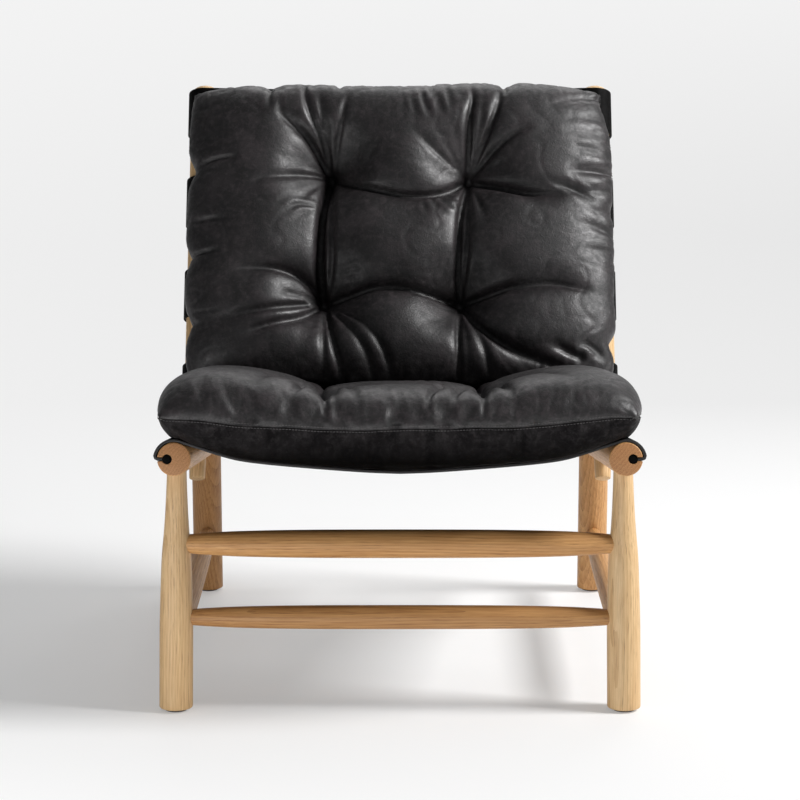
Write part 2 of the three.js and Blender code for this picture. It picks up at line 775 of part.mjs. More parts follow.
// Everything behind the front of the back sling
function behindBackShape() {
  const half = [...panelWidthShares, 1].map((share) => (
    new THREE.Vector2(railX * share, panelY(railX * share) - backLeather / 2 - fitGap)
  ));
  const front = mirrorPath(half);
  const edgeY = front[0].y;
  const outline = [
    new THREE.Vector2(-railX - overrun, edgeY), ...front, new THREE.Vector2(railX + overrun, edgeY),
    new THREE.Vector2(railX + overrun, postRadius + overrun),
    new THREE.Vector2(-railX - overrun, postRadius + overrun),
  ];
  const depth = postHeight + postTailLength + 2 * overrun;
  const geometry = new THREE.ExtrudeGeometry(new THREE.Shape(outline), { depth, bevelEnabled: false });
  return geometry.translate(0, 0, -postTailLength - overrun).applyMatrix4(backFrame.matrixWorld);
}

function seatCushionShape() {
  const frontRow = (seatLength - seatTuftRowPitch) / 2;
  return cushionShape({
    halfWidth: seatHalfWidth,
    length: seatLength,
    start: -seatOverhang,
    seam: seatSeamHeight,
    seamRise: seatSeamRise,
    crown: seatCrown,
    underCrown: seatUnderCrown,
    sideFullness: seatSideFullnessShare,
    endSquash: rearSquashShare,
    tuftHalfSpacing: seatTuftHalfSpacing,
    tuftRows: [frontRow, frontRow + seatTuftRowPitch],
    tuftDepth: seatTuftDepth,
    creaseDepth: seatCreaseDepth,
  });
}

function backCushionShape() {
  return cushionShape({
    halfWidth: backHalfWidth,
    length: backCushionLength,
    start: backCushionStart,
    seam: tabRadius + backLeather / 2 + backSeamHeight,
    seamRise: backSeamRise,
    crown: backCrown,
    underCrown: backUnderCrown,
    sideFullness: backSideFullnessShare,
    endSquash: 0,
    tuftHalfSpacing: backTuftHalfSpacing,
    tuftRows: [backTuftLowerRow, backTuftLowerRow + backTuftRowPitch],
    tuftDepth: backTuftDepth,
    creaseDepth: backCreaseDepth,
  });
}

function addCushions() {
  const seat = addPiece(seatFrame, 'seat_cushion', seatCushionShape(), hide);
  cut(seat, underSeatShape(), behindBackShape());
  const back = addPiece(backFrame, 'back_cushion', backCushionShape().rotateX(Math.PI / 2), hide);
  const seatBelow = seatCushionShape().translate(0, 0, 2 * fitGap).applyMatrix4(seatFrame.matrixWorld);
  cut(back, behindBackShape(), seatBelow);
}

addFrameSide('left');
addFrameSide('right');
addStretchers();
addBackRails();
for (const sideName of Object.keys(sides)) {
  addGlide(sideName, 'front');
  addGlide(sideName, 'rear');
}
addSeatSling();
addSlingRods();
addBackSling();
addRivets();
addCushions();

// The origin is on the floor, under the middle of the chair
const bounds = new THREE.Box3().setFromObject(chair, true);
chair.position.y = -(bounds.min.y + bounds.max.y) / 2;

export default chair;
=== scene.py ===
"""The looks of a low oak and leather lounge chair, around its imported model.

Metres, +Z up, in the model's own frame. The chair faces -Y.
"""

import math

import bpy
import numpy as np
from mathutils import Matrix, Vector, noise
from mathutils.bvhtree import BVHTree
from mathutils.geometry import tessellate_polygon


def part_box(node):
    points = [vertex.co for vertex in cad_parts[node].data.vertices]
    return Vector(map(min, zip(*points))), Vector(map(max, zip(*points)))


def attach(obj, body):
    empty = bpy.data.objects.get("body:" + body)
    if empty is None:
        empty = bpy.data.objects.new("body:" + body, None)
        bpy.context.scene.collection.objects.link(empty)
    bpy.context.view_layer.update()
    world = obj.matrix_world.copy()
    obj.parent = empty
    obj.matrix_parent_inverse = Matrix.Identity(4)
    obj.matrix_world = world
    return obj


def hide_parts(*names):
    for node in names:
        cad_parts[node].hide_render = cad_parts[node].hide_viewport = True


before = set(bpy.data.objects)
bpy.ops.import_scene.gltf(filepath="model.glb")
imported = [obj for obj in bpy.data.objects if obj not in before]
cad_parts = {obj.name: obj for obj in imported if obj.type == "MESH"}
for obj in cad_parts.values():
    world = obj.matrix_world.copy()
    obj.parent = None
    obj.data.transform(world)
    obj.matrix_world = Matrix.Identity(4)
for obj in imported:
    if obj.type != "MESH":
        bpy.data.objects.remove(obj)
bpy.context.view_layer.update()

# Stance of the frame, as in the part's source
RAIL_X = 0.302
FOOT_X = 0.308
FRONT_LEG_SETBACK = 0.050
REAR_FOOT_SETBACK = 0.716
RAIL_FRONT_HEIGHT = 0.3617
SEAT_TILT = math.radians(9)
BACK_RECLINE = math.radians(28)
POST_SETBACK = 0.444
BRACE_REACH = 0.337
FIT_GAP = 0.0003

front_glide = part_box("front_glide_left")
SHIFT_Y = (front_glide[0].y + front_glide[1].y) / 2 - FRONT_LEG_SETBACK
SEAT = Matrix.Translation((0, SHIFT_Y, RAIL_FRONT_HEIGHT)) @ Matrix.Rotation(-SEAT_TILT, 4, "X")
BACK = Matrix.Translation(SEAT @ Vector((0, POST_SETBACK, 0))) @ Matrix.Rotation(-BACK_RECLINE, 4, "X")
SIDES = {"left": -1, "right": 1}
UP = Vector((0, 0, 1))

# Camera, fitted to the photograph
CAMERA_DISTANCE = 3.6613  # in front of the rails
CAMERA_HEIGHT = 1.1208
CAMERA_PITCH = math.radians(10.5)
CAMERA_LENS = 126
CAMERA_SENSOR = 36


def add_camera():
    data = bpy.data.cameras.new("camera")
    data.lens = CAMERA_LENS
    data.sensor_width = CAMERA_SENSOR
    data.clip_end = 50
    camera = bpy.data.objects.new("camera", data)
    camera.location = (0, SHIFT_Y - CAMERA_DISTANCE, CAMERA_HEIGHT)
    camera.rotation_euler = (math.pi / 2 - CAMERA_PITCH, 0, 0)
    bpy.context.scene.collection.objects.link(camera)
    bpy.context.scene.camera = camera


# Mesh helpers


def make_object(name, vertices, faces, place=None):
    mesh = bpy.data.meshes.new(name)
    mesh.from_pydata([tuple(vertex) for vertex in vertices], [], faces)
    mesh.validate()
    mesh.polygons.foreach_set("use_smooth", [True] * len(mesh.polygons))
    piece = bpy.data.objects.new(name, mesh)
    bpy.context.scene.collection.objects.link(piece)
    if place is not None:
        piece.matrix_world = place
    bpy.context.view_layer.update()
    return piece


def finish_piece(piece, materials, nodes=()):
    for material in materials:
        piece.data.materials.append(material)
    if nodes:
        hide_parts(*nodes)
    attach(piece, "root")
    return piece


def add_solid(name, mesh, place, materials, nodes=(), smooth_up_to=35):
    """A finished piece from its vertices and faces. Edges past so many degrees stay sharp."""
    piece = make_object(name, *mesh, place)
    piece.data.set_sharp_from_angle(angle=math.radians(smooth_up_to))
    return finish_piece(piece, materials, nodes)


def add_turned(node, mesh, place, tone):
    """A turned oak piece that stands for a node of the part."""
    return add_solid(f"{node}_turned", mesh, place, [tone], [node])


def along(start, end):
    """A matrix that puts Z = 0 on start and points +Z at end."""
    turn = UP.rotation_difference((end - start).normalized()).to_matrix().to_4x4()
    return Matrix.Translation(start) @ turn


def arc(centre, radius, start, end, count):
    return [
        (centre[0] + radius * math.cos(angle), centre[1] + radius * math.sin(angle))
        for angle in np.linspace(start, end, count)
    ]


def smooth_profile(rows, steps):
    """Points made finer by a smooth curve through them."""
    rows = [np.array(row, float) for row in rows]
    result = []
    for index in range(len(rows) - 1):
        p0 = rows[max(index - 1, 0)]
        p1, p2 = rows[index], rows[index + 1]
        p3 = rows[min(index + 2, len(rows) - 1)]
        for step in range(steps):
            t = step / steps
            result.append(
                0.5 * (2 * p1 + (p2 - p0) * t + (2 * p0 - 5 * p1 + 4 * p2 - p3) * t * t
                       + (3 * p1 - p0 - 3 * p2 + p3) * t ** 3)
            )
    result.append(rows[-1])
    return [tuple(row) for row in result]


def tapered(shares, start_radius, end_radius, start, end):
    """(radius, height) rows from (height, radius) shares of the way from start to end."""
    return [(start_radius + (end_radius - start_radius) * turn, start + (end - start) * at) for at, turn in shares]


def lengths_along(points):
    """The length of a path up to each of its points."""
    return np.concatenate([[0], np.cumsum(np.linalg.norm(np.diff(points, axis=0), axis=1))])


def turned_points(rows, segments):
    """Rings round Z, one for each (radius, height) row."""
    angles = [2 * math.pi * step / segments for step in range(segments)]
    return [(radius * math.cos(a), radius * math.sin(a), height) for radius, height in rows for a in angles]


def band_faces(rings, count, closed=True):
    """Quads between rings of so many points, which follow each other."""
    faces = []
    for ring in range(rings - 1):
        for step in range(count if closed else count - 1):
            a, b = ring * count + step, ring * count + (step + 1) % count
            faces.append((a, b, b + count, a + count))
    return faces


def closed_faces(rings, count):
    """The bands between rings, and a cap on the first and the last."""
    last = (rings - 1) * count
    return band_faces(rings, count) + [tuple(reversed(range(count))), tuple(range(last, last + count))]


def turned_mesh(rows, segments):
    """A body turned on Z, closed at both ends, from (radius, height) rows."""
    return turned_points(rows, segments), closed_faces(len(rows), segments)


def tube_mesh(rows, segments):
    """A ring turned on Z: the (radius, height) rows close on themselves."""
    faces = []
    for ring in range(len(rows)):
        onward = segments if ring + 1 < len(rows) else -ring * segments
        for step in range(segments):
            a, b = ring * segments + step, ring * segments + (step + 1) % segments
            faces.append((a, a + onward, b + onward, b))
    return turned_points(rows, segments), faces


# Materials

# Oak tones: light wood, late wood, pores. The first set is the oak itself; the second and third are ever darker, more
# saturated copies of it: painted shade for the pieces that lie in half shade and in deep shade.
PALE_OAK = (0.73, 0.512, 0.272, 1), (0.54, 0.325, 0.143, 1), (0.26, 0.128, 0.048, 1)
HALF_SHADED_OAK = (0.63, 0.350, 0.135, 1), (0.43, 0.200, 0.062, 1), (0.22, 0.092, 0.030, 1)
SHADED_OAK = (0.52, 0.280, 0.105, 1), (0.35, 0.160, 0.050, 1), (0.17, 0.068, 0.022, 1)
END_OAK = (0.52, 0.265, 0.110, 1), (0.40, 0.180, 0.068, 1), (0.20, 0.08, 0.028, 1)
# Painted shade: the dark that the leather of the cushions' under faces goes to towards its bottom
PAINTED_LEATHER_SHADE = (0.0006, 0.0005, 0.0005, 1)  # at the lower end of leather that darkens downwards


class Nodes:
    """A short way to write a node tree."""

    def __init__(self, name):
        self.material = bpy.data.materials.new(name)
        self.material.use_nodes = True
        self.tree = self.material.node_tree
        self.shader = self.tree.nodes["Principled BSDF"]

    def add(self, kind, inputs=None, **settings):
        node = self.tree.nodes.new("ShaderNode" + kind)
        for key, value in settings.items():
            setattr(node, key, value)
        for key, value in (inputs or {}).items():
            self.feed(node.inputs[key], value)
        return node

    def feed(self, socket, value):
        if isinstance(value, bpy.types.NodeSocket):
            self.tree.links.new(value, socket)
        else:
            socket.default_value = value

    def set(self, **inputs):
        for key, value in inputs.items():
            self.feed(self.shader.inputs[key.replace("_", " ")], value)

    def place(self):
        return self.add("TexCoord").outputs["Object"]

    def math(self, operation, first, second, clamp=False):
        return self.add("Math", {0: first, 1: second}, operation=operation, use_clamp=clamp).outputs[0]

    def weighted(self, *parts, clamp=False):
        """The sum of (value, weight) parts, which may be clamped at the end."""
        total = self.math("MULTIPLY", *parts[0])
        for part in parts[1:]:
            total = self.math("ADD", total, self.math("MULTIPLY", *part), clamp and part is parts[-1])
        return total

    def span(self, value, low, high, out_low=0.0, out_high=1.0):
        return self.add("MapRange", {"Value": value, "From Min": low, "From Max": high,
                                     "To Min": out_low, "To Max": out_high}).outputs[0]

    def mix(self, factor, first, second):
        return self.add("Mix", {0: factor, 6: first, 7: second}, data_type="RGBA").outputs[2]

    def noise(self, vector, scale, detail, roughness=0.5, distortion=0.0):
        return self.add("TexNoise", {"Vector": vector, "Scale": scale, "Detail": detail,
                                     "Roughness": roughness, "Distortion": distortion}).outputs[0]

    def stretched(self, vector, scale):
        return self.add("Mapping", {"Vector": vector, "Scale": scale}).outputs[0]

    def bump(self, height, strength, distance, normal=None):
        node = self.add("Bump", {"Height": height, "Strength": strength, "Distance": distance})
        if normal is not None:
            self.feed(node.inputs["Normal"], normal)
        return node.outputs[0]


def oak_material(name, light, middle, dark, end_grain=False):
    """Oak with its grain along the piece's own Z: growth rings round a distant pith, fibres and open pores."""
    n = Nodes(name)
    place = n.place()
    chance = n.add("ObjectInfo").outputs["Random"]
    aside = n.add("Math", {0: chance, 1: 0.06, 2: 0.045}, operation="MULTIPLY_ADD").outputs[0]
    offset = n.add("CombineXYZ", {0: aside, 1: n.math("MULTIPLY", chance, 0.11), 2: n.math("MULTIPLY", chance, 3.1)})
    shifted = n.add("VectorMath", {0: place, 1: offset.outputs[0]}, operation="ADD").outputs[0]
    sway = n.add("TexNoise", {"Vector": n.stretched(shifted, (1, 1, 0.16)), "Scale": 16, "Detail": 2}).outputs[1]
    sway = n.add("VectorMath", {0: sway, 1: (0.5, 0.5, 0.5)}, operation="SUBTRACT").outputs[0]
    sway = n.add("VectorMath", {0: sway, "Scale": 0.022}, operation="SCALE").outputs[0]
    bent = n.add("VectorMath", {0: shifted, 1: sway}, operation="ADD").outputs[0]
    rings = n.add("TexWave", {"Vector": n.stretched(bent, (1, 1, 0.015)), "Scale": 74, "Distortion": 1.2,
                              "Detail": 3, "Detail Scale": 1.5, "Detail Roughness": 0.6},
                  wave_type="RINGS", rings_direction="Z", wave_profile="SAW").outputs[1]

    def grain(stretch, scale, detail, roughness=0.5):
        return n.noise(n.stretched(shifted, (1, 1, stretch)), scale, detail, roughness)

    fibres = grain(0.035, 520, 3, 0.65)
    pore_mask = n.math("MULTIPLY", n.span(grain(0.03, 1000, 2), 0.56, 0.66), n.span(rings, 0.45, 0.95, 0.25, 1.0))
    tone = n.weighted((n.span(rings, 0.1, 1.0), 0.30), (grain(0.2, 9, 2), 0.35), (grain(0.05, 150, 3, 0.6), 0.45),
                      (n.math("SUBTRACT", fibres, 0.5), 1.0))
    colour = n.mix(n.span(tone, 0.27, 0.84), light, middle)
    colour = n.mix(n.math("MULTIPLY", pore_mask, 0.75), colour, dark)
    if end_grain:
        specks = n.span(n.noise(place, 900, 2, 0.6), 0.52, 0.64)
        colour = n.mix(n.math("MULTIPLY", specks, 0.6), colour, dark)
    height = n.math("SUBTRACT", fibres, n.math("MULTIPLY", pore_mask, 0.6))
    n.set(Base_Color=colour, Roughness=n.span(fibres, 0.3, 0.7, 0.42, 0.56), Specular_IOR_Level=0.5,
          Normal=n.bump(height, 0.3, 0.0004))
    return n.material


def leather_material(name, base, light, roughness, grain_size=0.0013, mottle=0.5, specular=0.55, painted_shade_below=None):
    """Waxed leather: a fine grain, cloudy patches, scuffs and paler worn crests.

    Two heights in the piece's own Z may be given for a painted shade: the leather goes from dark at the lower one to
    its own colour at the upper one.
    """
    n = Nodes(name)
    place = n.place()
    crest = n.add("NewGeometry").outputs["Pointiness"]
    cloud = n.noise(place, 24, 5, 0.62, 0.5)
    fine_cloud = n.noise(place, 130, 4, 0.7, 0.3)
    scuffs = n.noise(n.stretched(place, (1, 2.2, 1)), 420, 3, 0.6)
    wear = n.weighted((n.span(cloud, 0.46, 0.66), 0.8 * mottle), (n.span(fine_cloud, 0.48, 0.66), 0.8 * mottle),
                      (n.span(scuffs, 0.58, 0.72), 0.5 * mottle), (n.span(crest, 0.495, 0.56), 0.3), clamp=True)
    colour = n.mix(wear, base, light)
    # Painted shade: darker towards the bottom of the piece
    if painted_shade_below:
        height = n.add("SeparateXYZ", {0: place}).outputs[2]
        colour = n.mix(n.span(height, *painted_shade_below), PAINTED_LEATHER_SHADE, colour)
    dull = n.math("ADD", n.span(cloud, 0.3, 0.7, roughness + 0.08, roughness - 0.06),
                  n.span(fine_cloud, 0.36, 0.66, 0.05, -0.05))
    dull = n.math("ADD", dull, n.span(crest, 0.495, 0.525, 0.03, -0.07))
    cells = n.add("TexVoronoi", {"Vector": place, "Scale": 1 / grain_size}).outputs[0]
    fine = n.bump(cells, 0.25, grain_size * 0.4)
    n.set(Base_Color=colour, Roughness=n.math("ADD", dull, n.math("MULTIPLY", cells, 0.05)),
          Specular_IOR_Level=specular,
          Normal=n.bump(n.noise(place, 0.2 / grain_size, 5, 0.65, 0.8), 0.34, grain_size * 1.2, fine))
    return n.material


def plain_material(name, colour, roughness, metallic=0.0, speckle=0.06, scale=180):
    n = Nodes(name)
    grain = n.noise(n.place(), scale, 4, 0.6)
    darker = tuple(value * (1 - speckle * 3) for value in colour[:3]) + (1,)
    n.set(Base_Color=n.mix(grain, darker, colour), Metallic=metallic, Normal=n.bump(grain, 0.12, 0.0003),
          Roughness=n.span(grain, 0.3, 0.7, roughness - 0.07, roughness + 0.07))
    return n.material


oak = oak_material("oak", *PALE_OAK)
# Two darker copies of the same oak: painted shade, for the pieces that the seat shades
half_shaded_oak = oak_material("half_shaded_oak", *HALF_SHADED_OAK)
shaded_oak = oak_material("shaded_oak", *SHADED_OAK)
oak_end = oak_material("oak_end", *END_OAK, end_grain=True)
cushion_leather = leather_material("cushion_leather", (0.0042, 0.0033, 0.0036, 1), (0.0505, 0.0425, 0.0448, 1), 0.45)
# The cushions' under faces: leather with a painted shade that darkens it towards the seat sling
under_leather = leather_material("under_leather", (0.0085, 0.0077, 0.0081, 1), (0.046, 0.042, 0.0432, 1), 0.55,
                                 specular=0.03, painted_shade_below=(-0.003, 0.044))
# Near black, far darker than the cushions' leather: painted shade, for the sling's edge in the shadow under the seat
# cushion
sling_leather = leather_material("sling_leather", (0.0015, 0.0013, 0.0013, 1), (0.004, 0.0036, 0.0036, 1), 0.6,
                                 grain_size=0.0009, mottle=0.3, specular=0.07)
# A lighter edge colour: burnished leather, and partly a painted highlight along the sling's edge
burnished_edge_and_highlight = plain_material("burnished_edge_and_highlight", (0.028, 0.0258, 0.0264, 1), 0.5, speckle=0.25, scale=700)
thread = plain_material("thread", (0.075, 0.071, 0.071, 1), 0.6, speckle=0.1, scale=1500)
steel = plain_material("steel", (0.50, 0.48, 0.45, 1), 0.34, 1.0)
glide_plastic = plain_material("glide_plastic", (0.050, 0.050, 0.052, 1), 0.6)

# Legs. A taper holds (share of the height, share of the way from the wide to the neck radius)
LEG_RADIUS = 0.023
FRONT_NECK_RADIUS = 0.013
REAR_NECK_RADIUS = 0.0145
FOOT_LEVEL = 0.0038
LEG_CHAMFER = 0.002
FRONT_TAPER = [(0.2, 0), (0.33, 0.01), (0.48, 0.12), (0.61, 0.28), (0.71, 0.56), (0.78, 0.73), (0.86, 0.86),
               (0.93, 0.95), (1, 1)]
REAR_TAPER = [(0.3, 0), (0.5, 0.01), (0.62, 0.15), (0.75, 0.5), (0.88, 0.85), (0.95, 0.96), (1, 1)]
TURNED_SEGMENTS = 64
FRONT_TOP = SEAT @ Vector((RAIL_X, FRONT_LEG_SETBACK / math.cos(SEAT_TILT), 0))
REAR_TOP = BACK @ Vector((RAIL_X, 0, BRACE_REACH))
FRONT_FOOT_Y = SHIFT_Y + FRONT_LEG_SETBACK
REAR_FOOT_Y = SHIFT_Y + REAR_FOOT_SETBACK


def leg_axis(foot_y, top, side, height):
    share = height / top.z
    return Vector((side * (FOOT_X + (top.x - FOOT_X) * share), foot_y + (top.y - foot_y) * share, height))


def leg_mesh(side, foot_y, top, neck_radius, taper):
    """A turned leg, sheared so that it leans from its foot to its top."""
    foot = [(LEG_RADIUS - LEG_CHAMFER, FOOT_LEVEL), (LEG_RADIUS - LEG_CHAMFER * 0.3, FOOT_LEVEL + LEG_CHAMFER * 0.35)]
    body = [(LEG_RADIUS, FOOT_LEVEL + LEG_CHAMFER)] + tapered(taper, LEG_RADIUS, neck_radius, 0, top.z)
    vertices, faces = turned_mesh(foot + smooth_profile(body, 5), TURNED_SEGMENTS)
    lean_x = side * (top.x - FOOT_X) / top.z
    lean_y = (top.y - foot_y) / top.z
    return [(x + lean_x * z, y + lean_y * z, z) for x, y, z in vertices], faces


def add_legs():
    for name, side in SIDES.items():
        # The left rear leg lies in shade and takes the darkest copy of the oak, the right one the half-shaded copy:
        # painted shade
        rear_tone = shaded_oak if name == "left" else half_shaded_oak
        for end, foot_y, top, neck, taper, tone in (
            ("front", FRONT_FOOT_Y, FRONT_TOP, FRONT_NECK_RADIUS, FRONT_TAPER, oak),
            ("rear", REAR_FOOT_Y, REAR_TOP, REAR_NECK_RADIUS, REAR_TAPER, rear_tone),
        ):
            place = Matrix.Translation((side * FOOT_X, foot_y, 0))
            add_turned(f"{end}_leg_{name}", leg_mesh(side, foot_y, top, neck, taper), place, tone)


# Seat rails, with the keyhole channel open to the outside

RAIL_RADIUS = 0.0225
RAIL_NECK_RADIUS = 0.015
RAIL_FULL_LENGTH = 0.505
RAIL_CHAMFER = 0.0017
RAIL_END = [(0, 1.0), (0.08, 0.62), (0.32, 0.26), (0.65, 0.07), (1, 0)]  # shares of the chamfer: depth, inset
KEYHOLE_EASING = 0.0004
MOUTH_EASING = 0.045  # radians
RAIL_TAPER = [(0, 0), (0.2, 0.06), (0.45, 0.4), (0.7, 0.8), (1, 1)]
CHANNEL_RADIUS = 0.0066
CHANNEL_OFFSET = 0.0095
CHANNEL_LENGTH = 0.408
SLOT_HALF_HEIGHT = 0.0027


def rail_length():
    slope = (REAR_TOP.y - REAR_FOOT_Y) / REAR_TOP.z
    height = RAIL_FRONT_HEIGHT - REAR_FOOT_SETBACK * math.tan(SEAT_TILT)
    return (REAR_FOOT_SETBACK + slope * height / (1 + slope * math.tan(SEAT_TILT))) / math.cos(SEAT_TILT)


RAIL_LENGTH = rail_length()


def keyhole_outline():
    """Points round a rail's section: its outside first, then the slot and the channel."""
    mouth = math.asin(SLOT_HALF_HEIGHT / RAIL_RADIUS)
    outside = arc((0, 0), RAIL_RADIUS, mouth + MOUTH_EASING, 2 * math.pi - mouth - MOUTH_EASING, 88)
    slot_start = math.asin(SLOT_HALF_HEIGHT / CHANNEL_RADIUS)
    channel = arc((CHANNEL_OFFSET, 0), CHANNEL_RADIUS, -slot_start, slot_start - 2 * math.pi, 36)
    edge = RAIL_RADIUS * math.cos(mouth)
    upper = [(edge - 0.0008, SLOT_HALF_HEIGHT), (edge - 0.0002, SLOT_HALF_HEIGHT + 0.0003)]
    lower = [(x, -y) for x, y in reversed(upper)]
    return outside, lower + channel + upper


def filled(vertices, ring):
    """Triangles that fill a flat ring of vertices, which may be hollowed."""
    corners = [Vector(vertices[index]) for index in ring]
    triangles = []
    for a, b, c in tessellate_polygon([corners]):
        normal = (corners[b] - corners[a]).cross(corners[c] - corners[a])
        triangles.append((ring[a], ring[b], ring[c], normal.z))
    area = sum((corners[i - 1].x * corners[i].y - corners[i].x * corners[i - 1].y) for i in range(len(ring)))
    return [(a, b, c) if z * area > 0 else (a, c, b) for a, b, c, z in triangles]


def rail_mesh():
    """A rail along +Z whose slot opens towards +X."""
    outside, inside = keyhole_outline()
    loop = np.array(outside + inside)
    count = len(loop)
    tangent = np.roll(loop, -1, 0) - np.roll(loop, 1, 0)
    tangent /= np.linalg.norm(tangent, axis=1)[:, None]
    inward = np.stack([-tangent[:, 1], tangent[:, 0]], 1)
    easing = np.full((count, 1), KEYHOLE_EASING)
    easing[2:len(outside) - 2] = RAIL_CHAMFER
    rings = [(loop + inward * easing * inset, RAIL_CHAMFER * depth) for depth, inset in RAIL_END]
    rings += [(loop, height) for height in np.linspace(RAIL_CHAMFER * 4, CHANNEL_LENGTH, 14)]
    vertices = [(x, y, height) for ring, height in rings for x, y in ring]
    faces = band_faces(len(rings), count) + filled(vertices, list(reversed(range(count))))
    # The channel's end wall, and then a plain round section
    start = len(vertices)
    last = start - count
    bridge = list(range(start, start + 5))
    vertices += [(x, y, CHANNEL_LENGTH) for x, y in arc((0, 0), RAIL_RADIUS, -0.1, 0.1, len(bridge))]
    faces += filled(vertices, list(range(last + len(outside), start)) + bridge[::-1])
    ring = list(range(last, last + len(outside))) + bridge
    heads = [vertices[index][:2] for index in ring]
    rows = [(RAIL_RADIUS, CHANNEL_LENGTH + 0.03), (RAIL_RADIUS, RAIL_FULL_LENGTH - 0.02)]
    taper = tapered(RAIL_TAPER, RAIL_RADIUS, RAIL_NECK_RADIUS, RAIL_FULL_LENGTH, RAIL_LENGTH)
    for radius, height in rows + smooth_profile(taper, 5):
        start = len(vertices)
        vertices += [(x * radius / RAIL_RADIUS, y * radius / RAIL_RADIUS, height) for x, y in heads]
        fresh = list(range(start, start + len(ring)))
        for step in range(len(ring)):
            following = (step + 1) % len(ring)
            faces.append((ring[step], ring[following], fresh[following], fresh[step]))
        ring = fresh
    faces.append(tuple(ring))
    return vertices, faces


def add_rails():
    mesh = rail_mesh()
    for name, side in SIDES.items():
        # The local Z runs back along the rail and the local X points outwards
        x_axis, z_axis = Vector((side, 0, 0)), Vector((0, 1, 0))
        turn = Matrix((x_axis, z_axis.cross(x_axis), z_axis)).transposed().to_4x4()
        place = SEAT @ Matrix.Translation((side * RAIL_X, 0, 0)) @ turn
        # The rails take the half-shaded copy of the oak: painted shade
        tones = [half_shaded_oak, oak_end]
        rail = add_solid(f"seat_rail_{name}_slotted", mesh, place, tones, [f"seat_rail_{name}"], 40)
        for face in rail.data.polygons:
            if face.center.z < RAIL_CHAMFER * 0.05:
                face.material_index = 1


# Back posts

POST_RADIUS = 0.0217
POST_NECK_RADIUS = 0.0144
POST_TIP_RADIUS = 0.0116
POST_HEIGHT = 0.580
POST_TAIL = 0.052
POST_DOME = 0.013


def add_posts():
    tail = [(POST_TIP_RADIUS - 0.0014, -POST_TAIL), (POST_TIP_RADIUS - 0.0004, -POST_TAIL + 0.0005)]
    body = [(POST_TIP_RADIUS, -POST_TAIL + 0.0014), (POST_NECK_RADIUS - 0.0004, 0.015), (POST_NECK_RADIUS, 0.026),
            (0.0175, 0.0455), (0.0198, 0.062), (0.0212, 0.079), (POST_RADIUS, 0.096), (POST_RADIUS, 0.13)]
    dome = []
    for step in range(13):
        angle = math.pi / 2 * step / 12
        dome.append((POST_RADIUS * (0.16 + 0.84 * math.cos(angle)), POST_HEIGHT - POST_DOME * (1 - math.sin(angle))))
    mesh = turned_mesh(tail + smooth_profile(body, 5) + [(POST_RADIUS, 0.35)] + dome, TURNED_SEGMENTS)
    for name, side in SIDES.items():
        add_turned(f"back_post_{name}", mesh, BACK @ Matrix.Translation((side * RAIL_X, 0, 0)), oak)


# Stretchers and cross rails

SPINDLE_SWELL = [(0, 0), (0.07, 0.3), (0.17, 0.56), (0.32, 0.79), (0.6, 0.96), (1, 1)]
TENON_REACH = 0.012  # how far a spindle's end runs into the piece that holds it


def add_spindle(node, start, end, end_radius, middle_radius, holder_radius):
    length = (end - start).length
    fine = smooth_profile(tapered(SPINDLE_SWELL, end_radius, middle_radius, 0, length / 2), 6)
    fine += [(radius, length - height) for radius, height in reversed(fine[:-1])]
    near = holder_radius - TENON_REACH
    rows = [row for row in fine if near < row[1] < length - near]
    mesh = turned_mesh([(end_radius, near)] + rows + [(end_radius, length - near)], 48)
    # The lower stretcher takes the darkest copy of the oak and the other spindles the half-shaded one: painted shade
    add_turned(node, mesh, along(start, end), shaded_oak if "lower" in node else half_shaded_oak)


def add_stretchers():
    def front(side, height):
        return leg_axis(FRONT_FOOT_Y, FRONT_TOP, side, height)

    def rear(side, height):
        return leg_axis(REAR_FOOT_Y, REAR_TOP, side, height)

    add_spindle("front_stretcher_upper", front(-1, 0.234), front(1, 0.234), 0.0108, 0.0195, LEG_RADIUS)
    add_spindle("front_stretcher_lower", front(-1, 0.131), front(1, 0.131), 0.0086, 0.0165, LEG_RADIUS)
    add_spindle("rear_stretcher", rear(-1, 0.286), rear(1, 0.286), 0.009, 0.015, LEG_RADIUS)
    for name, side in SIDES.items():
        add_spindle(f"side_stretcher_{name}", front(side, 0.1), rear(side, 0.1), 0.0086, 0.0168, LEG_RADIUS)
    for node, height in (("back_rail_lower", 0.161), ("back_rail_upper", 0.461)):
        ends = [BACK @ Vector((side * RAIL_X, 0.005, height)) for side in (-1, 1)]
        add_spindle(node, *ends, 0.009, 0.012, POST_RADIUS)


# Leather slings: a middle surface along a path, given a thickness

SHARP_EDGE = math.radians(50)
Z_TO_Y = Matrix.Rotation(-math.pi / 2, 4, "X")


def even_path(points, spacing):
    """The path in even steps of about the spacing."""
    points = np.array(points)
    lengths = lengths_along(points)
    at = np.linspace(0, lengths[-1], int(round(lengths[-1] / spacing)) + 1)
    return np.stack([np.interp(at, lengths, points[:, 0]), np.interp(at, lengths, points[:, 1])], 1)


def mirrored(half):
    """A whole path from its right half, whose first point is on the middle line."""
    return [(-x, y) for x, y in reversed(half[1:])] + list(half)


def make_sheet(name, vertices, faces, thickness, place):
    """A closed sheet of leather with rounded edges, from its middle surface."""
    sheet = make_object(name, vertices, faces, place)
    solidify = sheet.modifiers.new("thickness", "SOLIDIFY")
    solidify.thickness = thickness
    solidify.offset = 0
    solidify.use_even_offset = True
    bevel = sheet.modifiers.new("edge", "BEVEL")
    bevel.width = 0.0009
    bevel.segments = 2
    bevel.limit_method = "ANGLE"
    bevel.angle_limit = SHARP_EDGE
    bpy.context.view_layer.update()
    mesh = bpy.data.meshes.new_from_object(sheet.evaluated_get(bpy.context.evaluated_depsgraph_get()))
    sheet.modifiers.clear()
    sheet.data = mesh
    mesh.set_sharp_from_angle(angle=SHARP_EDGE)
    return sheet


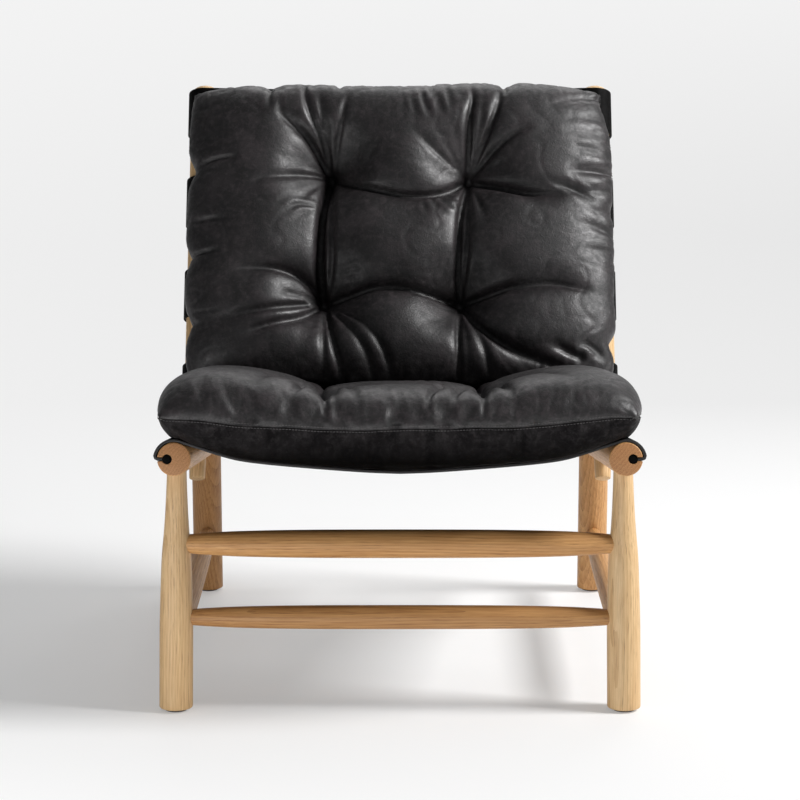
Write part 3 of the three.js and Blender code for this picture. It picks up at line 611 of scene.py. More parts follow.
SEAT_LEATHER = 0.0042
SLING_FRONT = 0.002
SLING_LENGTH = 0.402
SLING_DROP = 0.0412
SLING_STANDOFF = 0.0012
SLING_TURN = 0.004
SLING_LEAVE = math.radians(19)
SLING_SAG = [(0.05, 0.12), (0.1, 0.235), (0.18, 0.42), (0.275, 0.59), (0.42, 0.72), (0.65, 0.86), (0.85, 0.96), (1, 1)]
ROD_RADIUS = 0.0018
HEM_CAP = 0.0012
HEM_ROUND = 0.0011
WRAP_RADIUS = RAIL_RADIUS + FIT_GAP + SEAT_LEATHER / 2
BEAD_RADIUS = CHANNEL_RADIUS - FIT_GAP
BEAD_X = RAIL_X + CHANNEL_OFFSET


def seat_sling_sag():
    """The sling's middle line from the middle of the seat to the top of a rail, in X and Z."""
    leave = (RAIL_X - WRAP_RADIUS * math.sin(SLING_LEAVE), WRAP_RADIUS * math.cos(SLING_LEAVE))
    points = [(leave[0] * (1 - inward), leave[1] - SLING_DROP * drop) for inward, drop in reversed(SLING_SAG)]
    return smooth_profile(points + [leave], 6)


def seat_sling_half():
    wrap_end = math.asin(SLING_TURN / WRAP_RADIUS)
    wrap = []
    for share in np.linspace(0, 1, 28)[1:]:
        angle = (math.pi / 2 + SLING_LEAVE) * (1 - share) + wrap_end * share
        radius = WRAP_RADIUS + SLING_STANDOFF * share
        wrap.append((RAIL_X + radius * math.cos(angle), radius * math.sin(angle)))
    turn = arc((wrap[-1][0] - SLING_TURN, SLING_TURN), SLING_TURN, 0, -math.pi / 2, 8)
    return seat_sling_sag() + wrap + turn[1:] + [(BEAD_X + BEAD_RADIUS - 0.0012, 0)]


def add_seat_sling():
    path = even_path(mirrored(seat_sling_half()), 0.0035)
    rows = np.linspace(SLING_FRONT, SLING_FRONT + SLING_LENGTH, 42)
    faces = band_faces(len(path), len(rows), closed=False)
    sling = make_sheet("seat_sling_leather", [(x, y, z) for x, z in path for y in rows], faces, SEAT_LEATHER, SEAT)
    # Its cut edges, which look along Y, have a lighter material of their own: a burnished edge, and partly a painted
    # highlight along it
    finish_piece(sling, [sling_leather, burnished_edge_and_highlight], ["seat_sling"])
    for face in sling.data.polygons:
        if abs(face.normal.y) > 0.6:
            face.material_index = 1
    inner, outer, soft = ROD_RADIUS + 0.0002, BEAD_RADIUS, HEM_ROUND
    rows = [(inner, -HEM_CAP / 2), (0.0001, -HEM_CAP / 2), (0.0001, -HEM_CAP), (outer - soft, -HEM_CAP * 0.9),
            (outer - soft * 0.3, soft * 0.3 - HEM_CAP * 0.8), (outer, soft - HEM_CAP / 2),
            (outer, SLING_LENGTH - soft), (outer - soft * 0.3, SLING_LENGTH - soft * 0.3),
            (outer - soft, SLING_LENGTH), (inner, SLING_LENGTH)]
    for name, side in SIDES.items():
        place = SEAT @ Matrix.Translation((side * BEAD_X, SLING_FRONT, 0)) @ Z_TO_Y
        add_solid(f"seat_sling_hem_{name}", tube_mesh(rows, 40), place, [sling_leather])


BACK_LEATHER = 0.0038
BACK_SAG = 0.009
TAB_RADIUS = POST_RADIUS + FIT_GAP + BACK_LEATHER / 2
TAB_WIDTH = 0.067
TAB_PITCH = 0.150
LOWEST_TAB = 0.086
TAB_CENTRES = [LOWEST_TAB + TAB_PITCH * index for index in range(4)]
TAB_WRAP = math.radians(60)
TAB_CELLS = 12
GAP_CELLS = 8
NOTCH_INNER = RAIL_X - 0.052
NOTCH_OUTER = RAIL_X + POST_RADIUS + 0.060
NOTCH_FLARE = 0.010
NOTCH_CORNER = 0.008
TAIL_REACH = 0.046
TAIL_LENGTH = 0.040
TAIL_STEP = BACK_LEATHER + 0.0004


def panel_y(x):
    share = x / RAIL_X
    return BACK_SAG * (1 - share * share) - TAB_RADIUS


def back_sling_half():
    panel = [(x, panel_y(x)) for x in np.linspace(0, RAIL_X, 40)[:-1]]
    wrap = arc((RAIL_X, 0), TAB_RADIUS, -math.pi / 2, math.pi / 2 + TAB_WRAP, 48)
    start = RAIL_X - TAIL_REACH
    bend = [(start + back, panel_y(start) + TAIL_STEP + max(back, 0) * 0.4) for back in (0.004, 0, -0.006)]
    tail = [(x, panel_y(x) + TAIL_STEP) for x in (start - TAIL_LENGTH * share for share in (0.3, 0.6, 1))]
    return panel + wrap + smooth_profile(wrap[-1:] + bend + tail, 5)[1:]


def tab_flare(x, past):
    """How far the sides of a tab stand out from its width: a slow flare, and the round corner of the notch."""
    flare = NOTCH_FLARE * (1 - (abs(x) - NOTCH_INNER) / (NOTCH_OUTER - NOTCH_INNER))
    flare = min(max(flare, 0), NOTCH_FLARE)
    if past < NOTCH_CORNER:
        away = NOTCH_CORNER - max(past, 0)
        flare += NOTCH_CORNER - math.sqrt(max(NOTCH_CORNER ** 2 - away ** 2, 0))
    return flare


def add_back_sling():
    half = even_path(back_sling_half(), 0.0032)
    path = mirrored([tuple(point) for point in half])
    along_half = lengths_along(half)
    reach = np.concatenate([along_half[:0:-1], along_half])
    notch_start = next(a for a in along_half if a >= NOTCH_INNER)
    bottom, top = TAB_CENTRES[0] - TAB_WIDTH / 2, TAB_CENTRES[-1] + TAB_WIDTH / 2
    vertices = []
    for index, (x, y) in enumerate(path):
        flare = tab_flare(x, reach[index] - notch_start)
        lows = [bottom] + [centre - TAB_WIDTH / 2 - flare for centre in TAB_CENTRES[1:]]
        highs = [centre + TAB_WIDTH / 2 + flare for centre in TAB_CENTRES[:-1]] + [top]
        rows = []
        for low, high, following in zip(lows, highs, lows[1:] + [None]):
            rows += list(np.linspace(low, high, TAB_CELLS + 1))
            if following is not None:
                rows += list(np.linspace(high, following, GAP_CELLS + 1))[1:-1]
        slack = 0.0008 * min(max((0.235 - abs(x)) / 0.06, 0), 1)
        vertices += [(x, y + noise.noise((x * 9, s * 9, 3.0)) * slack, s) for s in rows]
    faces = []
    for face in band_faces(len(path), len(rows), closed=False):
        index, row = divmod(face[0], len(rows))
        before_notches = max(reach[index], reach[index + 1]) <= notch_start + 1e-9
        if before_notches or row % (TAB_CELLS + GAP_CELLS) < TAB_CELLS:
            faces.append(face)
    used = sorted({corner for face in faces for corner in face})
    renumber = {old: new for new, old in enumerate(used)}
    vertices = [vertices[old] for old in used]
    faces = [tuple(renumber[corner] for corner in face) for face in faces]
    sling = make_sheet("back_sling_leather", vertices, faces, BACK_LEATHER, BACK)
    finish_piece(sling, [sling_leather], ["back_sling"])


RIVET_X = RAIL_X - TAIL_REACH - TAIL_LENGTH / 2
RIVET_SPREAD = 0.036


def add_rivets():
    """A domed head behind the tail of each tab, and a flat washer on its front."""
    front = panel_y(RIVET_X) - BACK_LEATHER / 2
    back = 2 * BACK_LEATHER + 0.0007
    rows = [(0.0002, -0.0006), (0.0042, -0.0006), (0.0046, -0.0002), (0.0046, -0.0001), (0.0019, 0), (0.0019, back),
            (0.0046, back + 0.0001), (0.0051, back + 0.0004), (0.0050, back + 0.0008), (0.0044, back + 0.0014),
            (0.0032, back + 0.0019), (0.0017, back + 0.0021), (0.0002, back + 0.0022)]
    mesh = turned_mesh(rows, 24)
    heights = [centre + end * RIVET_SPREAD / 2 for centre in TAB_CENTRES for end in (-1, 1)]
    for name, side in SIDES.items():
        for index, height in enumerate(heights, 1):
            place = BACK @ Matrix.Translation((side * RIVET_X, front, height)) @ Z_TO_Y
            add_solid(f"rivet_{name}_{index}", mesh, place, [steel], [f"back_rivet_{name}_{index}"], 40)


def add_glides():
    rows = [(0.0002, 0), (0.0138, 0), (0.0148, 0.0003), (0.0153, 0.0009), (0.0153, 0.0026), (0.0149, 0.0033),
            (0.0142, 0.0035), (0.0025, 0.0035), (0.0025, 0.0155), (0.0002, 0.0155)]
    mesh = turned_mesh(rows, 48)
    for name, side in SIDES.items():
        for end, foot_y in (("front", FRONT_FOOT_Y), ("rear", REAR_FOOT_Y)):
            node = f"{end}_glide_{name}"
            place = Matrix.Translation((side * FOOT_X, foot_y, 0))
            add_solid(f"{node}_moulded", mesh, place, [glide_plastic], [node], 30)


# Cushions. Each is worked out in its own frame: X across, Y along, Z out of its face

CELL = 0.0027
CORNER_SHARE = 0.035
DRAWN_IN_SHARE = 0.012
TUFT_WIDTH = 0.015
TUFT_REACH = 0.055
TUFT_POINT = 0.003
TUFT_SHARP_SHARE = 0.38
FOLD_POINT = 0.0016
FOLD_SHARP_SHARE = 0.75
FOLD_BROAD_SHARE = 0.45
VALLEY_BROAD_SHARE = 0.85
SIDE_START = 0.29  # a fold that starts further out starts at the cushion's side
TUFT_START = 0.045  # and one that starts nearer than this to a tuft starts at the tuft
FINE_WIDTH = 0.0042
FINE_SHARE = 0.16
FULL_CREASE = 0.032

# How the leather settles over its stuffing. A hold is the share of the way back to the stuffed form in each round
SETTLE_ROUNDS = 260
FACE_HOLD = 0.009
CREASE_HOLD = 0.07  # more than the face, where a crease is full
UNDER_HOLD = 0.06
SEAM_HOLD = 0.10
MOMENTUM = 0.85
PULL = 0.5  # each end's share of the way back to a stretched link's length
PRESS = 0.42  # and to a pressed one's
STIFFNESS = 0.22
ROUGHNESS = 0.004  # of the random start
STUFFING_PUSH = 0.00006
COVER_CAP = 0.014  # the furthest that the leather ends up from the stuffed form
CALM_ROUNDS = 36


def even_shares(half, crown, power):
    """Shares from -1 to 1 that lie evenly along the leather over a crown, and that leather's length."""
    share = np.sin(np.linspace(-math.pi / 2, math.pi / 2, 4001))
    height = crown * np.sqrt(np.clip(1 - np.abs(share) ** power, 0, 1))
    length = np.concatenate([[0], np.cumsum(np.hypot(np.diff(share * half), np.diff(height)))])
    count = 2 * int(round(length[-1] / CELL / 2)) + 1
    return np.interp(np.linspace(0, length[-1], count), length, share), length[-1]


def bell(value, centre, width):
    return np.exp(-((value - centre) / width) ** 2)


def ramp(distance, width):
    """From 0 up to 1 over a width."""
    return np.clip(distance / width, 0, 1)


def blunt(distance, point):
    """A distance, rounded off near zero over about a point's width."""
    return np.sqrt(distance ** 2 + point ** 2) - point


def nearest_on(points, x, y):
    """The distance of each place from a line, and how far along the line it is, from 0 to 1."""
    lengths = lengths_along(points)
    best = np.full(x.shape, 9.0)
    run = np.zeros_like(x)
    for index in range(len(points) - 1):
        start, step = points[index], points[index + 1] - points[index]
        share = np.clip(((x - start[0]) * step[0] + (y - start[1]) * step[1]) / (step @ step), 0, 1)
        distance = np.hypot(x - start[0] - share * step[0], y - start[1] - share * step[1])
        nearer = distance < best
        best = np.where(nearer, distance, best)
        run = np.where(nearer, (lengths[index] + share * (lengths[index + 1] - lengths[index])) / lengths[-1], run)
    return best, run


def creases(x, y, size):
    """How far the face is drawn in by its tufts and by the folds that run from them, and the fine line in each fold."""
    sharp = np.zeros_like(x)
    broad = np.zeros_like(x)
    fine = np.zeros_like(x)
    for tuft, breadth in zip(size["tufts"], size["tuft_breadths"]):
        distance = np.hypot(x - tuft[0], y - tuft[1])
        sharp += (TUFT_SHARP_SHARE * size["tuft_depth"] * np.exp(-blunt(distance, TUFT_POINT) / TUFT_WIDTH)) ** 3
        broad += (breadth * size["tuft_depth"] * bell(distance, 0, TUFT_REACH)) ** 3
    for depth, width, valley_reach, line in size["folds"]:
        points = np.array(smooth_profile([(a / 1000, b / 1000) for a, b in line], 4))
        distance, run = nearest_on(points, x, y)
        valley_share, valley = FOLD_BROAD_SHARE, 1
        if valley_reach:  # between two tufts: shallower in the middle
            fade = 1 - 0.2 * np.sin(np.pi * run)
            valley_share, valley = VALLEY_BROAD_SHARE, 1 - 0.42 * np.sin(np.pi * run)
        elif abs(points[0][0]) < SIDE_START and min(math.dist(points[0], tuft) for tuft in size["tufts"]) > TUFT_START:
            fade = np.maximum(np.sin(np.pi * run), 0)  # in the open leather: fades at both ends
        else:
            fade = np.maximum(np.cos(np.pi / 2 * run), 0) ** 1.1  # fades away from its tuft or its edge
        spread = width / 1000 * (1 if valley_reach else 0.55 + 0.9 * run)
        reach = valley_reach / 1000 if valley_reach else 2.4 * spread
        sharp += (FOLD_SHARP_SHARE * depth / 1000 * fade * np.exp(-blunt(distance, FOLD_POINT) / spread)) ** 3
        fine += (depth / 1000 * fade * np.exp(-(distance / FINE_WIDTH) ** 1.5)) ** 3
        broad += (valley_share * depth / 1000 * fade * valley * bell(distance, 0, reach)) ** 3
    return np.cbrt(sharp) + np.cbrt(broad), np.cbrt(fine)


def cushion_form(size):
    """The stuffed shape before its leather settles: its front and back faces as two grids."""
    u, across = even_shares(size["half_width"], size["crown"], 4)
    v, length = even_shares(size["length"] / 2, size["crown"], 6)
    v, u = np.meshgrid(v, u, indexing="ij")
    corner = np.where((u > 0) & (v < 0), size["right_corner_share"], CORNER_SHARE)
    x = size["half_width"] * u * (1 - corner * v ** 4) * (1 - DRAWN_IN_SHARE * (1 - v * v) * u * u)
    corner = np.where(v > 0, size["top_corner_share"], CORNER_SHARE)
    y = 1 + v * (1 - corner * u ** 4) * (1 - DRAWN_IN_SHARE * (1 - u * u) * v * v)
    y = size["start"] + size["length"] / 2 * y
    for side, at, depth, width in size["pinches"]:
        x = x - side * depth * (bell(y, at, width) * np.clip(side * u, 0, 1) ** 8)
    for at, depth, width in size["end_pinches"]:
        y = y - depth * bell(x, at, width) * np.clip(v, 0, 1) ** 8
    full = np.sqrt(np.clip(1 - u ** 4, 0, 1)) * np.sqrt(np.clip(1 - v ** 6, 0, 1))
    seam = size["seam"] + size["seam_rise"] * u * u
    crown = size["crown"] * (1 + size["side_fullness"] * u * u) * (1 - size["end_squash"] * np.clip(v, 0, 1))
    top = seam + crown * full - creases(x, y, size)[0] * full ** 0.5
    under = seam - size["under_crown"] * full
    form = np.stack([np.stack([x, y, top], -1), np.stack([x, y, under], -1)]).astype(np.float32)
    return form, across / (u.shape[1] - 1), length / (u.shape[0] - 1)


def grid_normals(points):
    normals = np.cross(np.gradient(points, axis=2), np.gradient(points, axis=1))
    normals[1] *= -1
    return normals / np.maximum(np.linalg.norm(normals, axis=-1, keepdims=True), 1e-9)


def even_out(points):
    """The mean of each point's four neighbours, less the point; nothing at the seam."""
    result = np.zeros_like(points)
    inside = result[:, 1:-1, 1:-1]
    inside[:] = (points[:, 2:, 1:-1] + points[:, :-2, 1:-1] + points[:, 1:-1, 2:] + points[:, 1:-1, :-2]) / 4
    inside -= points[:, 1:-1, 1:-1]
    return result


def cover_links(form, flat_x, flat_y, slack, flat_share):
    """Pairs of views over the grid, in sets that share no point, each with the leather's length between."""
    diagonal = math.hypot(flat_x, flat_y)
    uneven = np.clip(0.75 + 0.75 * wrinkle_field(form.shape[1:3], 90, 90, 41), 0, 2.4)
    uneven = np.broadcast_to(uneven[None, ..., None], form.shape[:3] + (1,))
    sets = []
    for odd in (0, 1):
        for first, second, flat in (
            (np.s_[:, :, odd:-1:2], np.s_[:, :, odd + 1::2], flat_x),
            (np.s_[:, odd:-1:2], np.s_[:, odd + 1::2], flat_y),
            (np.s_[:, odd:-1:2, :-1], np.s_[:, odd + 1::2, 1:], diagonal),
            (np.s_[:, odd:-1:2, 1:], np.s_[:, odd + 1::2, :-1], diagonal),
        ):
            actual = np.linalg.norm(form[second] - form[first], axis=-1, keepdims=True)
            length = actual * (1 + slack * uneven[first]) + flat_share * np.maximum(flat - actual, 0)
            sets.append((first, second, length.astype(np.float32)))
    return sets


def settle_cover(form, flat_x, flat_y, size, clear):
    """Lets a slack leather cover buckle over its filling, held by its seam and its tufts."""
    rng = np.random.default_rng(7)
    seam = np.ones(form.shape[1:3], bool)
    seam[1:-1, 1:-1] = False
    hold = np.full(form.shape[:3] + (1,), FACE_HOLD, np.float32)
    creased = ramp(creases(form[0, ..., 0], form[0, ..., 1], size)[0], FULL_CREASE)
    hold[0, ..., 0] += CREASE_HOLD * creased ** 2
    hold[1] = UNDER_HOLD
    hold[:, seam] = SEAM_HOLD
    hold[:, pinned_points(form, size["tufts"])] = 1
    rough = rng.normal(0, 1, form.shape[:3] + (1,)).astype(np.float32)
    for _ in range(12):
        rough += 0.9 * even_out(rough)
    points = form + grid_normals(form) * rough * ROUGHNESS
    points[:, seam] = form[:, seam]
    sets = cover_links(form, flat_x, flat_y, size["slack"], size["flat_share"])
    before = points.copy()
    for step in range(SETTLE_ROUNDS):
        moved = points + MOMENTUM * (points - before)
        before = points
        points = moved
        if step % 4 == 0:
            push = grid_normals(points) * STUFFING_PUSH
            push[:, seam] = 0
        points += push
        for first, second, rest in sets:
            a, b = points[first], points[second]
            gap = b - a
            length = np.sqrt(np.einsum("...i,...i->...", gap, gap))[..., None]
            error = (length - rest) / np.maximum(length, 1e-9)
            gap *= np.where(error > 0, PULL, PRESS) * error
            a += gap
            b -= gap
        points -= STIFFNESS * even_out(even_out(points))
        points += hold * (form - points)
        mean = points.mean(0)
        points[:, seam] = mean[seam]
        clear(points)
    points += 0.35 * even_out(points)
    away = points - form
    far = np.linalg.norm(away, axis=-1, keepdims=True)
    points = form + away * np.minimum(1, COVER_CAP / np.maximum(far, 1e-9))
    for x, y, reach in size["calm"]:
        calm = np.exp(-(np.hypot(form[0, ..., 0] - x, form[0, ..., 1] - y) / reach) ** 4)[..., None]
        for _ in range(CALM_ROUNDS):
            points[0] += 0.8 * calm * even_out(points)[0]
    clear(points)
    return points


def wrinkle_field(shape, rounds_x, rounds_y, seed):
    """A smooth random field of unit spread over a grid, drawn out by the two numbers of smoothing rounds."""
    field = np.random.default_rng(seed).normal(0, 1, shape).astype(np.float32)
    for axis, rounds in ((1, rounds_x), (0, rounds_y)):
        for _ in range(rounds):
            field = 0.5 * field + 0.25 * (np.roll(field, 1, axis) + np.roll(field, -1, axis))
    return (field - field.mean()) / field.std()


def crumple(points, size):
    """Fine wrinkles in the leather: thin valleys all over, closer and deeper by the edges and the tufts."""
    shape = rows, columns = points.shape[1:3]
    normals = grid_normals(points)
    row, column = np.mgrid[0:rows, 0:columns]
    side_away = np.minimum(column, columns - 1 - column) * CELL
    end_away = np.minimum(row, rows - 1 - row) * CELL
    seam_away = np.minimum(side_away, end_away)

    def sink(face, depth):
        points[face] -= normals[face] * depth[..., None]

    by_side = bell(side_away, 0.03, 0.045)
    by_end = bell(end_away, 0.02, 0.035)
    by_tuft = np.zeros(shape, np.float32)
    for tuft in size["tufts"]:
        away = np.hypot(points[0, ..., 0] - tuft[0], points[0, ..., 1] - tuft[1])
        by_tuft = np.maximum(by_tuft, bell(away, 0.03, 0.035))
    fade = ramp(seam_away, 0.008)
    for rounds_x, rounds_y, mask, depth, seed in (
        (90, 18, by_side, 0.0011, 3), (12, 60, by_end, 0.0010, 5), (24, 24, by_tuft, 0.0006, 7),
        (60, 44, np.ones_like(by_side), 0.0006, 9),
    ):
        for face in (0, 1):
            field = wrinkle_field(shape, rounds_x, rounds_y, seed + 20 * face)
            valley = np.clip(1 - 1.5 * np.abs(field), 0, 1) ** 1.3
            sink(face, size["crumple"] * depth * valley * mask * fade)
    fine = creases(points[0, ..., 0], points[0, ..., 1], size)[1]
    sink(0, FINE_SHARE * fine * ramp(seam_away, 0.02))
    gather = bell(end_away, 0, 0.045) * ramp(side_away, 0.05)
    for face, depth, seed in ((0, 0.0022, 11), (1, 0.0034, 13)):
        field = np.clip(wrinkle_field(shape, 16, 160, seed) - 0.2, 0, 2)
        sink(face, depth * size["gather"] * field * gather * ramp(end_away, 0.006))
    sway = wrinkle_field(shape, 120, 400, 17) * np.exp(-end_away / 0.02)
    points[..., 2] += 0.0011 * size["gather"] * sway * ramp(side_away, 0.04)
    pucker = wrinkle_field(shape, 2, 2, 31)
    near = np.exp(-seam_away / 0.007) * ramp(seam_away, CELL)
    points += normals * (0.0005 * pucker * near)[..., None]


def cushion_mesh(points):
    """One closed mesh from the two grids, which share their seam."""
    rows, columns = points.shape[1:3]
    grid = np.arange(rows * columns).reshape(rows, columns)
    inner = grid[1:-1, 1:-1]
    under = grid.copy()
    under[1:-1, 1:-1] = rows * columns + np.arange(inner.size).reshape(inner.shape)
    vertices = np.concatenate([points[0].reshape(-1, 3), points[1][1:-1, 1:-1].reshape(-1, 3)])

    def quads(index):
        return np.stack([index[:-1, :-1], index[:-1, 1:], index[1:, 1:], index[1:, :-1]], -1).reshape(-1, 4)

    return vertices, np.concatenate([quads(grid), quads(under)[:, ::-1]]).tolist()


def seat_sling_top(x):
    """The height of the seat sling's upper side above the rails' centre lines."""
    sag = np.array(seat_sling_sag())
    inside = np.interp(np.abs(x), sag[:, 0], sag[:, 1]) + SEAT_LEATHER / 2
    return np.where(np.abs(x) < sag[-1, 0], inside, sag[-1, 1] + SEAT_LEATHER * 0.8)


def back_sling_front(x):
    """How far the back sling's front stands in front of the posts' centre lines."""
    share = np.clip(np.abs(x) / RAIL_X, 0, 1)
    return TAB_RADIUS - BACK_SAG * (1 - share ** 2) + BACK_LEATHER / 2


CUSHION_CLEARANCE = 0.0005
CUSHION_BACK = BACK @ Matrix.Rotation(math.pi / 2, 4, "X")
REAR_ROWS = 60  # of the seat cushion's grid, those that can reach the back sling


def change_frame(points, matrix):
    matrix = np.array(matrix, dtype=points.dtype)
    return points @ matrix[:3, :3].T + matrix[:3, 3]


def clear_seat(points):
    """Keeps the seat cushion on its sling and in front of the back sling."""
    under = points[1]
    under[..., 2] = np.maximum(under[..., 2], seat_sling_top(under[..., 0]) + CUSHION_CLEARANCE)
    for face in points:
        local = change_frame(face[-REAR_ROWS:], CUSHION_BACK.inverted() @ SEAT)
        lack = back_sling_front(local[..., 0]) + CUSHION_CLEARANCE - local[..., 2]
        local[..., 2] += np.maximum(lack, 0)
        face[-REAR_ROWS:] = change_frame(local, SEAT.inverted() @ CUSHION_BACK)


def clear_back(points):
    under = points[1]
    under[..., 2] = np.maximum(under[..., 2], back_sling_front(under[..., 0]) + CUSHION_CLEARANCE)


def pinned_points(form, tufts):
    pinned = np.zeros(form.shape[1:3], bool)
    for tuft in tufts:
        pinned |= np.hypot(form[0, ..., 0] - tuft[0], form[0, ..., 1] - tuft[1]) < CELL * 1.3
    return pinned


def with_mirror(*folds):
    """Each fold, and after it its mirror image across the middle line."""
    return [(*fold[:3], [(side * x, y) for x, y in fold[3]]) for fold in folds for side in (1, -1)]


# Folds are (depth, width, reach of the valley where it joins two tufts, line), all in mm
SEAT_TUFTS = [(x, y) for x in (-0.107, 0.107) for y in (0.1145, 0.2795)]
SEAT_FOLDS = [
    (25, 9, 38, [(-107, 114), (-40, 118), (40, 118), (107, 114)]),
    (18, 9, 38, [(-107, 280), (-40, 276), (40, 276), (107, 280)]),
    *with_mirror((18, 8, 38, [(-107, 114), (-112, 200), (-107, 280)])),
    (34, 8, 0, [(-107, 114), (-103, 60), (-101, 10), (-99, -40)]),
    (15, 6, 0, [(-107, 112), (-126, 50), (-140, -10), (-146, -44)]),
    (14, 5, 0, [(-106, 112), (-90, 50), (-88, 0), (-84, -44)]),
    (8, 6, 0, [(-104, 112), (-76, 60), (-62, 0), (-55, -44)]),
    (9, 7, 0, [(-110, 114), (-160, 80), (-188, 20), (-196, -40)]),
    (13, 8, 0, [(-112, 116), (-180, 112), (-250, 100), (-312, 96)]),
    (32, 8, 0, [(107, 114), (109, 60), (111, 10), (112, -40)]),
    (17, 6, 0, [(107, 112), (128, 50), (146, -10), (154, -44)]),
    (8, 5, 0, [(107, 112), (114, 50), (122, 0), (124, -44)]),
    (16, 6, 0, [(105, 112), (86, 50), (76, 0), (70, -44)]),
    (12, 6, 0, [(103, 112), (62, 60), (42, 0), (34, -44)]),
    (9, 7, 0, [(110, 114), (180, 80), (222, 20), (236, -30)]),
    (13, 8, 0, [(112, 116), (180, 112), (250, 102), (312, 96)]),
    *with_mirror(
        (12, 8, 0, [(-112, 282), (-180, 286), (-250, 296), (-312, 300)]),
        (14, 7, 0, [(-107, 284), (-110, 350), (-112, 436)]),
        (9, 7, 0, [(-110, 284), (-150, 350), (-176, 430)]),
        (8, 7, 0, [(-104, 284), (-70, 350), (-50, 436)]),
    ),
]
BACK_TUFTS = [(-0.103, 0.400), (0.103, 0.390), (-0.112, 0.199), (0.089, 0.195)]
BACK_FOLDS = [
    (20, 9, 44, [(-103, 400), (-57, 371), (0, 353), (45, 355), (75, 366), (103, 390)]),
    (25, 10, 38, [(-112, 199), (-67, 204), (-34, 209), (0, 209), (41, 203), (89, 195)]),
    (41, 6, 54, [(-103, 400), (-114, 335), (-118, 274), (-117, 226), (-112, 199)]),
    (12, 4, 38, [(-102, 387), (-102, 307), (-101, 257), (-107, 207)]),
    (21, 6, 42, [(103, 390), (90, 315), (87, 256), (89, 195)]),
    (13, 4, 38, [(103, 379), (101, 315), (98, 258), (91, 204)]),
    (16, 5, 0, [(-103, 400), (-108, 420), (-116, 447), (-133, 481), (-150, 530)]),
    (10, 4, 0, [(-105, 412), (-113, 454), (-125, 530)]),
    (8, 4, 0, [(-104, 412), (-108, 454), (-115, 510)]),
    (25, 9, 0, [(-104, 401), (-134, 443), (-160, 466), (-192, 492)]),
    (10, 5, 0, [(-104, 399), (-141, 393), (-179, 382), (-230, 374)]),
    (5, 5, 0, [(-105, 391), (-135, 365), (-149, 340)]),
    (6, 5, 0, [(-99, 409), (-93, 447), (-78, 520)]),
    (21, 10, 0, [(-112, 199), (-130, 217), (-155, 232), (-190, 238), (-222, 237), (-262, 232)]),
    (5, 5, 0, [(-115, 198), (-159, 201), (-190, 197)]),
    (14, 6, 0, [(-114, 193), (-144, 167), (-170, 155), (-194, 148), (-252, 128)]),
    (9, 6, 0, [(-140, 190), (-177, 177), (-220, 168), (-272, 158), (-306, 150)]),
    (15, 6, 0, [(-110, 191), (-99, 130), (-87, 91), (-70, 40)]),
    (9, 5, 0, [(-113, 187), (-112, 112), (-109, 40)]),
    (9, 5, 0, [(-107, 192), (-77, 150), (-50, 109), (-26, 40)]),
    (8, 6, 0, [(-104, 193), (-59, 158), (-22, 108), (-2, 40)]),
    (15, 5, 0, [(102, 391), (103, 432), (105, 476), (118, 530)]),
    (9, 4, 0, [(103, 396), (118, 445), (127, 530)]),
    (13, 5, 0, [(105, 393), (126, 440), (145, 485), (157, 536)]),
    (12, 7, 0, [(106, 393), (146, 430), (196, 466)]),
    (24, 8, 0, [(105, 386), (150, 368), (200, 354), (262, 356)]),
    (7, 5, 0, [(216, 375), (241, 368), (268, 358), (300, 340)]),
    (5, 5, 0, [(106, 375), (122, 327), (130, 290)]),
    (7, 7, 0, [(99, 394), (66, 414), (36, 437), (14, 462)]),
    (6, 5, 0, [(99, 393), (75, 424), (58, 453)]),
    (4, 4, 0, [(100, 398), (87, 438), (76, 475)]),
    (19, 9, 0, [(92, 195), (144, 203), (187, 209), (228, 212), (269, 205), (306, 196)]),
    (16, 7, 0, [(92, 189), (123, 142), (164, 113), (204, 98), (248, 86), (290, 76)]),
    (7, 5, 0, [(205, 123), (248, 110), (290, 88)]),
    (7, 5, 0, [(256, 130), (288, 115), (308, 90)]),
    (14, 6, 0, [(89, 187), (86, 120), (89, 40)]),
    (11, 5, 0, [(93, 185), (120, 124), (131, 88), (143, 40)]),
    (7, 5, 0, [(91, 174), (99, 111), (100, 40)]),
    (6, 7, 0, [(316, 480), (290, 482), (240, 476)]),
    (5, 7, 0, [(317, 452), (290, 458), (240, 456)]),
    (5, 7, 0, [(317, 424), (293, 430), (250, 432)]),
    (9, 6, 0, [(320, 400), (290, 396), (243, 388)]),
    (6, 6, 0, [(320, 372), (296, 364), (262, 360)]),
    (5, 7, 0, [(320, 336), (296, 332), (250, 334)]),
    (7, 7, 0, [(320, 300), (292, 306), (250, 310)]),
    (5, 6, 0, [(320, 262), (296, 268), (262, 270)]),
    (8, 6, 0, [(300, 524), (262, 512), (213, 493)]),
    (4, 7, 0, [(-318, 452), (-290, 446), (-250, 447)]),
    (4, 7, 0, [(-318, 322), (-286, 316), (-240, 318)]),
]

